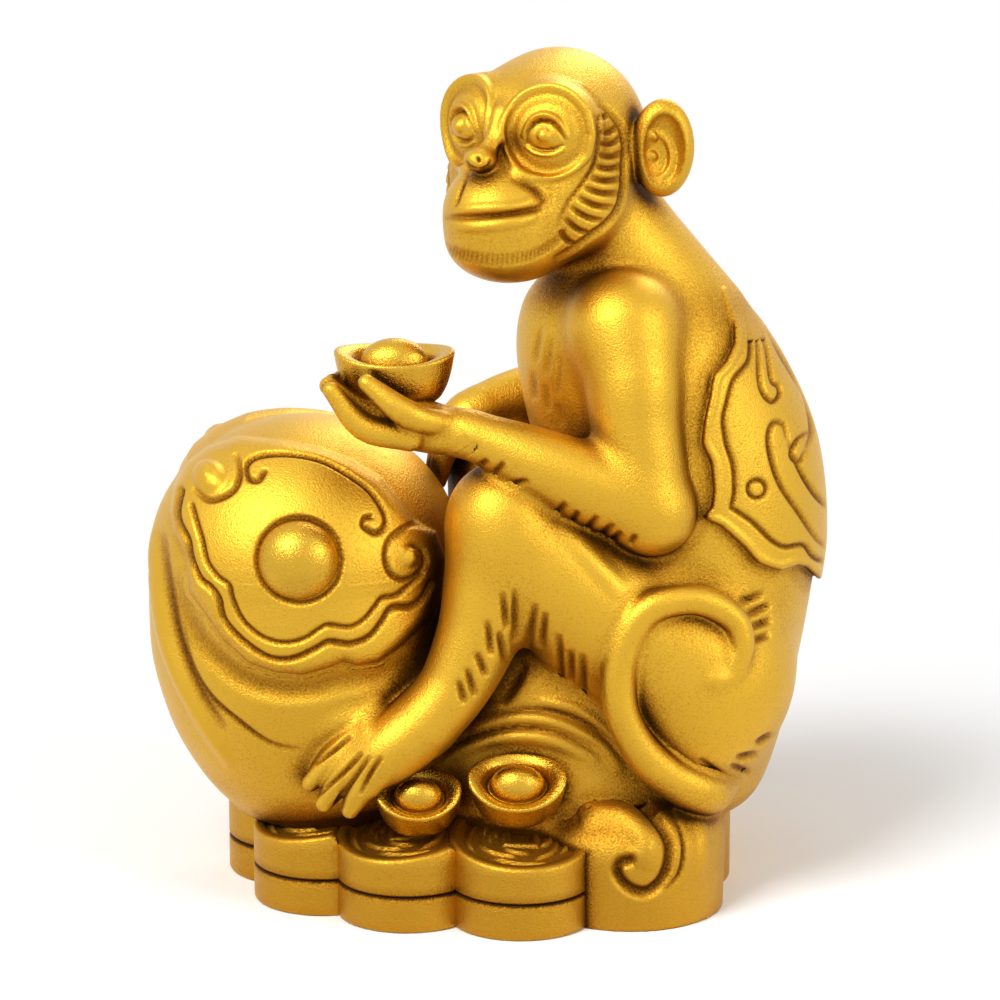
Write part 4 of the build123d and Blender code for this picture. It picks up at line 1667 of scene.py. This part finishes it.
@dataclass
class Coins:
    """Coins in stacks of two round the base, each top one tilted outward.

    Attributes:
        radius: Of a coin, in millimetres as are the other lengths.
        thickness: Of a lower coin.
        tilt: Fall of the top face outward, in degrees.
        rim: Width of the rim round the sunk face.
        sunk: Depth of the sunk face.
        edge: Rounding of a coin's edge.
        relief_height: Height of the pattern on the sunk face.
        seam_shade: How much painted shade darkens the gap between two coins.
        columns: Steps round a coin.
        centre: X of the middle that the stacks turn away from.
        stacks: Name and place shares of each stack.
    """

    radius: float = 10.0
    thickness: float = 5.2
    tilt: float = 11.0
    rim: float = 1.4
    sunk: float = 0.7
    edge: float = 0.45
    relief_height: float = 0.45
    seam_shade: float = 0.9
    columns: int = 96
    centre: float = 1.93
    stacks: tuple = (
        ("near_right", 0.095, -0.677),
        ("near_middle", -0.234, -0.574),
        ("near_left", -0.482, -0.339),
        ("front_end", -0.571, 0.08),
        ("far_left", -0.44, 0.40),
        ("far_middle", -0.20, 0.59),
        ("far_right", 0.11, 0.677),
    )

    def place(self, x_share: float, y_share: float) -> Pair:
        """A stack's centre and its outward direction.

        Args:
            x_share: Share of the half length.
            y_share: Share of the half depth.

        Returns:
            Both, in millimetres and as a unit direction.
        """
        place = np.array([x_share * FIGURE.half_length, y_share * FIGURE.half_depth])
        outward = place - np.array([self.centre, 0.0])
        return place, outward / np.linalg.norm(outward)

    def face_height(self, points: np.ndarray, place: np.ndarray, outward: np.ndarray) -> np.ndarray:
        """Height of the tilted face over a point: it falls outward from the inner edge."""
        slope = math.tan(math.radians(self.tilt))
        return 2 * self.thickness + slope * (self.radius - (points - place) @ outward)

    def solids(self) -> list[Shape]:
        """Each stack as one disc."""
        discs = []
        slope = math.tan(math.radians(self.tilt))
        for _, x_share, y_share in self.stacks:
            place, outward = self.place(x_share, y_share)
            high = 2 * self.thickness + slope * self.radius
            discs.append(Disc(tuple(place), self.radius, 0, high, tuple(outward * slope)))
        return discs

    def relief(self, own: np.ndarray) -> np.ndarray:
        """A plain raised pattern: a square in the middle and four curls around it.

        Args:
            own: Points of a coin about its own middle.

        Returns:
            The pattern's height in millimetres.
        """
        r = np.hypot(own[..., 0], own[..., 1])
        turn = np.arctan2(own[..., 1], own[..., 0])
        square = np.maximum(np.abs(own[..., 0]), np.abs(own[..., 1]))
        frame_band = 1.0 - smooth_step(np.abs(square - 2.0), 0.25, 0.6)
        arms = np.cos(4 * turn + 1.5 * np.sin(2.2 * r)) * np.sin(1.9 * r + 0.6)
        curls = smooth_step(arms, 0.15, 0.55)
        band = smooth_step(r, 2.9, 3.4) * (1 - smooth_step(r, 7.3, 7.9))
        return self.relief_height * np.maximum(frame_band, curls * band)

    def lower_profile(self) -> np.ndarray:
        """Radius and height along a lower coin's section, with its rounded edges."""
        wall, edge, top = self.radius, self.edge, self.thickness
        rows = [(0, 0), (wall - 2, 0), (wall - edge, 0), (wall - 0.12, 0.15), (wall, edge)]
        rows += [(wall, share * top) for share in (0.3, 0.5, 0.7)]
        rows += [(wall, top - edge), (wall - 0.12, top - 0.15), (wall - edge, top)]
        return np.array(rows + [(wall - 2.5, top), (0, top)])

    def meshes(self) -> list[Surface]:
        """Name, vertices, quads and painted shade mask of every coin."""
        found = []
        placed: list[Pair] = []
        for name, x_share, y_share in self.stacks:
            place, outward = self.place(x_share, y_share)
            grid, quads = turned_grid(self.lower_profile(), self.columns)
            grid[..., :2] += place
            vertices, quads = close_poles(grid, quads)
            # Painted shade on the lower coin's top edge, where the upper coin sits on it
            shade = self.seam_shade * smooth_step(vertices[:, 2], self.thickness - 0.7, self.thickness)
            found.append((f"coin_{name}_lower", vertices, quads, shade))
            found.append(self.upper(name, place, outward, placed))
            placed.append((place, outward))
        return found

    def upper(
        self, name: str, place: np.ndarray, outward: np.ndarray, placed: list
    ) -> Surface:
        """The upper coin: wall, rounded rim, step down to the sunk face, and its relief.

        Args:
            name: The stack's name.
            place: The stack's centre.
            outward: The direction in which the face falls.
            placed: Centre and direction of the stacks before it, under whose faces it stays.

        Returns:
            Name, vertices, quads and painted shade mask.
        """
        wall, rim, edge = self.radius, self.rim, self.edge
        flat = [(wall - edge, 0.0), (wall - rim, 0.0), (wall - rim - 0.3, -self.sunk)]
        inner = np.linspace(wall - rim - 0.6, 0.0, 40)
        rows = [(0, 0.0, 0), (wall - 2, 0.0, 0), (wall - edge, 0.0, 0), (wall, edge, 0)]
        rows += [(wall, share * self.thickness, 0) for share in (0.3, 0.55, 0.75)]
        rows += [(wall, -edge, 1), (wall - 0.13, -0.14, 1)]
        rows += [(r, h, 1) for r, h in flat]
        rows += [(r, -self.sunk, 1) for r in inner]
        table = np.array(rows)
        grid, quads = turned_grid(table[:, :2], self.columns)
        own = grid.copy()
        grid[..., :2] += place
        on_face = np.broadcast_to(table[:, 2:3] > 0, grid.shape[:2])
        face = self.face_height(grid[..., :2], place, outward)
        height = np.where(on_face, face + grid[..., 2], self.thickness + grid[..., 2])
        inside = np.broadcast_to(table[:, :1] <= wall - rim - 0.6, grid.shape[:2]) & on_face
        raised = np.where(inside, self.relief(own), 0.0)
        # Painted shade in the sunk face where the raised pattern is low
        groove = np.where(inside, np.clip(1.0 - raised / 0.3, 0.0, 1.0), 0.0) * 0.35
        height = height + raised
        for other, direction in placed:
            over = np.hypot(*np.moveaxis(grid[..., :2] - other, -1, 0)) < self.radius + 0.1
            ceiling = self.face_height(grid[..., :2], other, direction) - 1.2
            height = np.where(over & on_face, np.minimum(height, ceiling), height)
        grid[..., 2] = height
        vertices, quads = close_poles(grid, quads)
        shade = np.concatenate([[0.0], groove[1:-1].ravel(), groove[-1, -1:]])
        # Painted shade on the upper coin's bottom edge, where it meets the lower coin
        seam_shade = self.seam_shade * smooth_step(-vertices[:, 2], -self.thickness - 0.7, -self.thickness)
        return f"coin_{name}_upper", vertices, quads, np.maximum(shade, seam_shade)


@dataclass
class Ingot:
    """A boat-shaped ingot: a hull whose rim sweeps up at both ends, with a dome in the middle.

    Attributes:
        node: The CAD node that it stands for.
        place: Its middle.
        half_long: Half its length, in millimetres as are the other lengths.
        half_wide: Half its width.
        height: What the profile's heights are shares of.
        end_rise: How far the ends sweep up.
        tip: How far it is tipped towards the viewer, in degrees.
    """

    node: str
    place: tuple[float, float, float]
    half_long: float
    half_wide: float
    height: float
    end_rise: float
    tip: float = 0.0

    def solid(self) -> Egg:
        """Its rough outline."""
        return Egg(self.place, (self.half_long, self.half_wide, self.height))

    def mesh(self) -> Surface:
        """A profile carried round: hull, rolled rim, saucer and dome; the ends lift with cos^2.

        A profile row is a share of the half sizes, a share of the height, and how much of the end
        rise that row takes. A point is (r L cos t, r W sin t, h H + lift R cos^2 t).
        """
        hull = [(0, -1, 0), (0.4, -1, 0), (0.62, -0.98, 0), (0.75, -0.88, 0.05), (0.85, -0.62, 0.2)]
        hull += [(0.92, -0.32, 0.5), (0.965, -0.02, 0.8), (0.99, 0.2, 1.0)]
        rim = [(1.0, 0.31, 1), (0.985, 0.37, 1), (0.94, 0.39, 1), (0.84, 0.36, 0.95)]
        rim.append((0.75, 0.31, 0.8))
        saucer = [(0.69, 0.25, 0.5), (0.65, 0.16, 0.25), (0.60, 0.12, 0.1)]
        turns = np.linspace(0.0, math.pi / 2, 12)
        dome = [(0.57 * math.cos(t), 0.14 + 0.72 * math.sin(t), 0) for t in turns]
        table = spline(np.array(hull + rim + saucer, float), 3)
        table = np.vstack([table, np.array(dome)])
        table[0, 0] = table[-1, 0] = 0.0
        grid, quads = turned_grid(table[:, :2], 96)
        cosine = grid[..., 0] / np.maximum(np.hypot(grid[..., 0], grid[..., 1]), 1e-6)
        lift = table[:, 2:3] * np.abs(cosine) ** 2.5 * self.end_rise
        scale = np.array([self.half_long, self.half_wide, self.height])
        grid = grid * scale
        grid[..., 2] += lift
        # Painted shade in the saucer's crease between the rim and the dome
        saucer_shade = np.clip(1.0 - np.abs(table[:, 0] - 0.62) / 0.07, 0, 1) * (table[:, 1] > -0.1)
        vertices, quads = close_poles(grid, quads)
        angle = math.radians(self.tip)
        c, s = math.cos(angle), math.sin(angle)
        turn = np.array([[1, 0, 0], [0, c, -s], [0, s, c]])
        vertices = vertices @ turn.T + np.array(self.place)
        return self.node, vertices, quads, ring_shade(saucer_shade, grid.shape[1])


@dataclass
class Pearl:
    """A round boss on one face of the seat."""

    node: str
    place: tuple[float, float, float]
    side: int
    radius: float = 5.7
    rise: float = 4.6

    def solid(self) -> Egg:
        """Its rough outline."""
        return Egg(self.place, (self.radius, self.rise, self.radius))

    def mesh(self) -> Surface:
        """A dome (R cos a, H sin a) on a short wall, carried round an axis along Y."""
        angles = np.linspace(0.0, math.pi / 2, 22)
        dome = [(self.radius * math.cos(a), self.rise * math.sin(a)) for a in angles]
        foot = [(0, -3.0), (self.radius - 0.6, -3.0), (self.radius, -2.4), (self.radius, -1.0)]
        table = np.array(foot + dome)
        table[-1, 0] = 0.0
        grid, quads = turned_grid(table, 72)
        x, y, z = grid[..., 0], grid[..., 1], grid[..., 2]
        grid = np.stack([x, self.side * z, -self.side * y], 2) + np.array(self.place)
        # Painted shade at the foot, where the pearl meets the seat
        groove = smooth_step(-table[:, 1], -0.8, 0.0) * 0.6
        vertices, quads = close_poles(grid, quads)
        return self.node, vertices, quads, ring_shade(groove, grid.shape[1])


def linear(code: str) -> tuple[float, float, float, float]:
    """An sRGB hex colour as linear numbers.

    Args:
        code: The colour as #RRGGBB.

    Returns:
        Red, green, blue and an alpha of 1.
    """
    values = [int(code[i : i + 2], 16) / 255 for i in (1, 3, 5)]
    values = [v / 12.92 if v <= 0.04045 else ((v + 0.055) / 1.055) ** 2.4 for v in values]
    return (*values, 1.0)


def node(
    tree: bpy.types.NodeTree, kind: str, links: dict | None = None, **settings: str
) -> bpy.types.Node:
    """Adds a node with its settings and links.

    Args:
        tree: The node tree.
        kind: The node's type.
        links: Input name or number to an output socket or a plain value.
        **settings: Properties of the node.

    Returns:
        The node.
    """
    made = tree.nodes.new(kind)
    for key, value in settings.items():
        setattr(made, key, value)
    for key, value in (links or {}).items():
        if isinstance(value, bpy.types.NodeSocket):
            tree.links.new(value, made.inputs[key])
        else:
            made.inputs[key].default_value = value
    return made


def cells(width: float) -> float:
    """Noise cells in a metre for a pattern's width in millimetres."""
    return 1.0 / (width * MM)


@dataclass(frozen=True)
class Brass:
    """Cast brass, lacquered and brushed: bright on its high places, with painted shade darkening
    its grainy hollows.

    Attributes:
        name: The finish.
        bright: Colour of the brushed high places.
        middle: Colour where the painted shade in a hollow begins.
        painted_dark: Painted shade colour in a hollow.
        deepest_shade: Painted shade colour at the bottom of the hollows.
        roughness: Roughness of the high places.
        hollow: Depth at which the painted shade begins.
        deep: Depth at which the painted shade is full.
        grain: Height of the cast grain in the hollows, in millimetres.
        brush: Height of the brush marks, in millimetres.
        hollow_roughness: Roughness of the hollows.
        sand_width: Width of the cast grain, in millimetres; coarser than real, so that it shows.
        blotch_width: Width of the patches of uneven colour, in millimetres.
        hair_long: Length of the brush marks, in millimetres.
        hair_width: Width of the brush marks, in millimetres.
        sand_share: How much the grain moves the edge of the painted shade.
        blotch_share: How much the uneven colour moves it.
    """

    name: str
    bright: str = "#DEAE36"
    middle: str = "#C08C26"
    painted_dark: str = "#8A5A14"
    deepest_shade: str = "#54350A"
    roughness: float = 0.38
    hollow: float = 0.12
    deep: float = 0.95
    grain: float = 0.10
    brush: float = 0.006
    hollow_roughness: float = 0.62
    sand_width: float = 5 / 18
    blotch_width: float = 6.25
    hair_long: float = 10 / 9
    hair_width: float = 5 / 26
    sand_share: float = 0.8
    blotch_share: float = 0.2

    def make(self) -> bpy.types.Material:
        """The material, read from Object coordinates and the attribute of painted shade, which
        darkens the colour.
        """
        material = bpy.data.materials.new(self.name)
        material.use_nodes = True
        tree = material.node_tree
        tree.nodes.clear()
        output = node(tree, "ShaderNodeOutputMaterial")
        place = node(tree, "ShaderNodeTexCoord").outputs["Object"]
        crevice_shade = node(tree, "ShaderNodeAttribute", attribute_name="crevice_shade").outputs["Fac"]
        across = cells(self.hair_long)
        stretched = node(
            tree,
            "ShaderNodeMapping",
            {"Vector": place, "Scale": (across, across, cells(self.hair_width))},
        ).outputs["Vector"]
        sand, blotch, hair = (
            node(
                tree, "ShaderNodeTexNoise", {"Vector": vector, "Scale": scale, "Detail": detail}
            ).outputs["Fac"]
            for vector, scale, detail in (
                (place, cells(self.sand_width), 4.0),
                (place, cells(self.blotch_width), 3.0),
                (stretched, 1.0, 2.0),
            )
        )
        grainy = node(
            tree, "ShaderNodeMath", {0: sand, 1: self.sand_share, 2: crevice_shade},
            operation="MULTIPLY_ADD",
        ).outputs[0]
        evened = node(
            tree, "ShaderNodeMath", {0: grainy, 1: self.sand_share / 2}, operation="SUBTRACT"
        ).outputs[0]
        uneven = node(
            tree, "ShaderNodeMath", {0: blotch, 1: self.blotch_share, 2: evened},
            operation="MULTIPLY_ADD",
        ).outputs[0]
        hollow = node(
            tree, "ShaderNodeMapRange", {0: uneven, 1: self.hollow, 2: self.deep}
        ).outputs[0]
        # Painted shade: the ramp darkens the colour from bright to deepest as the shade depth grows
        ramp = node(tree, "ShaderNodeValToRGB", {0: hollow})
        stops = ((0.0, self.bright), (0.35, self.middle), (0.72, self.painted_dark), (1.0, self.deepest_shade))
        for place_on_ramp, colour_code in stops[1:-1]:
            ramp.color_ramp.elements.new(place_on_ramp).color = linear(colour_code)
        ramp.color_ramp.elements[0].color = linear(stops[0][1])
        ramp.color_ramp.elements[-1].color = linear(stops[-1][1])
        colour = ramp.outputs[0]
        rough = node(
            tree, "ShaderNodeMapRange", {0: hollow, 3: self.roughness, 4: self.hollow_roughness}
        ).outputs[0]
        depth = node(tree, "ShaderNodeMapRange", {0: hollow, 3: 0.75, 4: 1.3}).outputs[0]
        grain_height = node(
            tree, "ShaderNodeMath", {0: sand, 1: depth}, operation="MULTIPLY"
        ).outputs[0]
        cast = node(
            tree,
            "ShaderNodeBump",
            {"Height": grain_height, "Distance": self.grain * MM, "Strength": 1.0},
        ).outputs[0]
        brushed = node(
            tree,
            "ShaderNodeBump",
            {"Height": hair, "Distance": self.brush * MM, "Strength": 1.0, "Normal": cast},
        ).outputs[0]
        shader = node(
            tree,
            "ShaderNodeBsdfPrincipled",
            {"Base Color": colour, "Metallic": 1.0, "Roughness": rough, "Normal": brushed},
        )
        tree.links.new(shader.outputs[0], output.inputs[0])
        return material


# Satin brass: brushed on the high places, which gives soft broad highlights
SATIN = Brass("satin_cast_brass")
# Polished brass: the same metal rubbed smooth, which gives sharper highlights
POLISHED = Brass("polished_cast_brass", roughness=0.26, bright="#D8AA38")
# Antiqued brass: a darker colour, with painted shade starting sooner in its hollows, and more cast
# grain
ANTIQUED = Brass("antiqued_cast_brass", bright="#CC9C30", hollow=0.08, deep=0.85, roughness=0.42)
# Plate brass: a rolled closing plate, even and dull
PLATE = Brass("rolled_brass_plate", bright="#D0A040", roughness=0.42)


@dataclass(frozen=True)
class Studio:
    """Pale floor, white surround for camera and reflections, soft lamps and the camera.

    Attributes:
        floor_half: Half the floor's side, in metres.
        sensor: Width of the camera's sensor, in millimetres.
        lamps: Name, place, aim, size and power of each lamp, in metres and watts.
    """

    floor_half: float = 1.6
    sensor: float = 36.0
    lamps: tuple = (
        ("key", (-0.45, -0.55, 0.75), (0, 0, 0.06), 0.45, 6.0),
        ("fill", (0.70, -0.45, 0.40), (0, 0, 0.06), 0.35, 1.6),
        ("back", (0.25, 0.60, 0.60), (0, 0, 0.07), 0.4, 2.0),
    )

    def camera(self) -> None:
        """The photograph's camera."""
        data = bpy.data.cameras.new("camera")
        data.sensor_width = self.sensor
        data.lens = self.sensor * PICTURE.distance / PICTURE.width
        data.clip_end = 20.0
        camera = bpy.data.objects.new("camera", data)
        camera.location = PICTURE.place() * MM
        camera.rotation_euler = (math.pi / 2 - PICTURE.pitch, 0, 0)
        bpy.context.scene.collection.objects.link(camera)
        bpy.context.scene.camera = camera

    def lamp(self, name: str, place: tuple, aim: tuple, size: float, power: float) -> None:
        """A square soft lamp at a place, turned to its aim.

        Args:
            name: The lamp's name.
            place: Where it stands, in metres.
            aim: Where it points.
            size: Its side.
            power: Its power in watts.
        """
        data = bpy.data.lights.new(name, "AREA")
        data.shape = "SQUARE"
        data.size = size
        data.energy = power
        lamp = bpy.data.objects.new(name, data)
        away = np.array(place) - np.array(aim)
        flat = math.hypot(away[0], away[1])
        lamp.location = place
        lamp.rotation_euler = (math.atan2(flat, away[2]), 0, math.atan2(away[0], -away[1]))
        bpy.context.scene.collection.objects.link(lamp)

    def background(self, tree: bpy.types.NodeTree) -> bpy.types.NodeSocket:
        """1 for a camera, glossy or transmission ray, otherwise 0.

        Args:
            tree: The node tree of a stage piece.

        Returns:
            The socket.
        """
        path = node(tree, "ShaderNodeLightPath").outputs
        seen = path["Is Camera Ray"]
        for ray in ("Is Glossy Ray", "Is Transmission Ray"):
            links = {0: seen, 1: path[ray]}
            seen = node(tree, "ShaderNodeMath", links, operation="MAXIMUM").outputs[0]
        return seen

    def surround(self) -> None:
        """A world that is white where it is seen and soft grey where it lights."""
        world = bpy.data.worlds.new("surround")
        bpy.context.scene.world = world
        world.use_nodes = True
        tree = world.node_tree
        tree.nodes.clear()
        seen = self.background(tree)
        light = node(
            tree, "ShaderNodeMix", {0: seen, 2: 0.5, 3: 1.0}, data_type="FLOAT"
        ).outputs[0]
        shader = node(
            tree, "ShaderNodeBackground", {"Color": (1, 1, 1, 1), "Strength": light}
        )
        output = node(tree, "ShaderNodeOutputWorld")
        tree.links.new(shader.outputs[0], output.inputs[0])

    def floor(self) -> None:
        """A plain pale floor."""
        half = self.floor_half
        mesh = bpy.data.meshes.new("floor")
        corners = [(-half, -half, 0), (half, -half, 0), (half, half, 0), (-half, half, 0)]
        mesh.from_pydata(corners, [], [(0, 1, 2, 3)])
        floor = bpy.data.objects.new("floor", mesh)
        bpy.context.scene.collection.objects.link(floor)
        material = bpy.data.materials.new("pale_floor")
        material.use_nodes = True
        tree = material.node_tree
        tree.nodes.clear()
        seen = self.background(tree)
        place = node(tree, "ShaderNodeTexCoord").outputs["Object"]
        away = node(
            tree, "ShaderNodeVectorMath", {0: place}, operation="LENGTH"
        ).outputs["Value"]
        fade = node(
            tree, "ShaderNodeMapRange", {0: away, 1: 0.07, 2: 0.16},
            interpolation_type="SMOOTHSTEP",
        ).outputs[0]
        white = node(tree, "ShaderNodeMath", {0: fade, 1: seen}, operation="MULTIPLY").outputs[0]
        pale = node(
            tree, "ShaderNodeBsdfDiffuse", {"Color": linear("#FAFAFA"), "Roughness": 0.9}
        ).outputs[0]
        glow = node(tree, "ShaderNodeEmission", {"Color": (1, 1, 1, 1), "Strength": 1.0}).outputs[0]
        mixed = node(tree, "ShaderNodeMixShader", {0: white, 1: pale, 2: glow}).outputs[0]
        node(tree, "ShaderNodeOutputMaterial", {"Surface": mixed})
        mesh.materials.append(material)

    def build(self) -> None:
        """Everything round the figure."""
        self.camera()
        self.surround()
        self.floor()
        for lamp in self.lamps:
            self.lamp(*lamp)


class Slot(Enum):
    """The record's slots."""

    SATIN = "satin_brass"
    POLISHED = "polished_brass"
    ANTIQUED = "antiqued_brass"
    PLATE = "plate_brass"


class Workshop:
    """Builds every piece, dresses it and says which CAD node it stands for.

    Attributes:
        groove_shade_depth: Painted shade at the bottom of an engraved groove, as a hollow's depth.
        ridge_shade_lift: How much painted shade a raised millimetre takes away.
        ridge_most: The greatest height that still takes some away, in millimetres.
    """

    groove_shade_depth = 0.72
    ridge_shade_lift = 0.3
    ridge_most = 0.6

    def __init__(self) -> None:
        """Makes the finishes."""
        self.finishes = {
            Slot.SATIN: SATIN.make(),
            Slot.POLISHED: POLISHED.make(),
            Slot.ANTIQUED: ANTIQUED.make(),
            Slot.PLATE: PLATE.make(),
        }
        self.coarse = 1.0

    def slot_of(self, name: str) -> Slot:
        """The record's slot of a piece.

        Args:
            name: The piece's CAD node.

        Returns:
            Polished for what is handled, antiqued for the base, plate below, satin for the rest.
        """
        if "ingot" in name or "pearl" in name:
            return Slot.POLISHED
        if name.startswith(("coin", "cloud", "ground", "base_shell")):
            return Slot.ANTIQUED
        return Slot.PLATE if name == "base_plate" else Slot.SATIN

    def dress(self, piece: bpy.types.Object, name: str) -> None:
        """Gives a new piece its finish and puts it in the CAD node's stead.

        Args:
            piece: The new piece.
            name: The CAD node.
        """
        finish = self.slot_of(name)
        piece.data.materials.append(self.finishes[finish])
        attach(piece, "root")
        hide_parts(name)
        mesh = piece.data
        LOG.info("%s: %d vertices, %d faces", name, len(mesh.vertices), len(mesh.polygons))

    def sculpted(self, form: Form, skin: tuple[np.ndarray, ...], sheets: list[Sheet]) -> None:
        """One form's skin, engraved.

        Args:
            form: The form.
            skin: Its vertices, quads, normals and depth of painted shade.
            sheets: What is engraved on it.
        """
        vertices, quads, normals, shade = skin
        for sheet in sheets:
            relief, groove = sheet.engrave(vertices, normals)
            vertices = vertices + normals * relief[:, None]
            # Grooves deepen the painted shade; raised relief lifts some of it
            shade = np.maximum(shade, groove * self.groove_shade_depth)
            shade = shade - self.ridge_shade_lift * np.clip(relief, 0, self.ridge_most)
        if form.floor is not None:
            vertices[:, 2] = np.maximum(vertices[:, 2], form.floor)
        self.dress(build_mesh(f"{form.node}_cast", vertices, quads, shade), form.node)

    def plain(self, found: Surface) -> None:
        """One turned surface with its own painted shade mask."""
        name, vertices, quads, shade = found
        self.dress(build_mesh(f"{name}_cast", vertices, quads, shade), name)

    def carried(self) -> None:
        """Finishes for the CAD nodes that stay."""
        for name in ("base_shell", "base_plate"):
            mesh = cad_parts[name].data
            material = self.finishes[self.slot_of(name)]
            if len(mesh.materials):
                mesh.materials[0] = material
            else:
                mesh.materials.append(material)


def main() -> None:
    """Builds the studio, then every piece."""
    logging.basicConfig(level=logging.INFO, format="%(message)s")
    scene = bpy.context.scene
    scene.view_settings.view_transform = "Standard"
    Studio().build()
    coins = Coins()
    held = Ingot("held_ingot", FIGURE.at(-0.265, -0.484, 0.612), 8.3, 5.5, 4.8, 0.7, 6.0)
    loose = [
        Ingot("large_loose_ingot", FIGURE.at(0.085, -0.74, 0.078), 6.9, 5.0, 4.6, 1.3, 36.0),
        Ingot("small_loose_ingot", FIGURE.at(-0.20, -0.71, 0.06), 6.1, 4.5, 4.4, 1.1, 36.0),
    ]
    body, seat, ground, legs, arms, head = Body(), Seat(), Ground(), Legs(), Arms(), Head()
    pearls = []
    x, _, z = FIGURE.at(*seat.pearl_shares)
    depth = seat.pearl_width_share * seat.half_width + seat.pearl_proud
    for side, name in ((-1, "left"), (1, "right")):
        pearls.append(Pearl(f"seat_pearl_{name}", (x, side * depth, z), side))
    torso, *cape = body.forms()
    mass, *plaques = seat.forms()
    forms = [torso, mass, *ground.forms(), *legs.forms(), *arms.forms(), *Tail().forms()]
    forms += [*head.forms(), *plaques, *cape]
    solids = coins.solids() + [piece.solid() for piece in (held, *loose, *pearls)]
    sculpture = Sculpture(forms, solids)
    workshop = Workshop()
    sheets: dict[str, list[Sheet]] = {}
    for part in (body, seat, ground, legs, arms, head):
        sheets.update(part.engraving())
    with ThreadPoolExecutor(max_workers=WORKERS) as pool:
        skins = list(pool.map(lambda form: sculpt(sculpture, form, workshop.coarse), forms))
    for form, skin in zip(forms, skins):
        workshop.sculpted(form, skin, sheets.get(form.node, []))
    for found in coins.meshes():
        workshop.plain(found)
    for made in (held, *loose, *pearls):
        workshop.plain(made.mesh())
    workshop.carried()


if __name__ == "__main__":
    main()
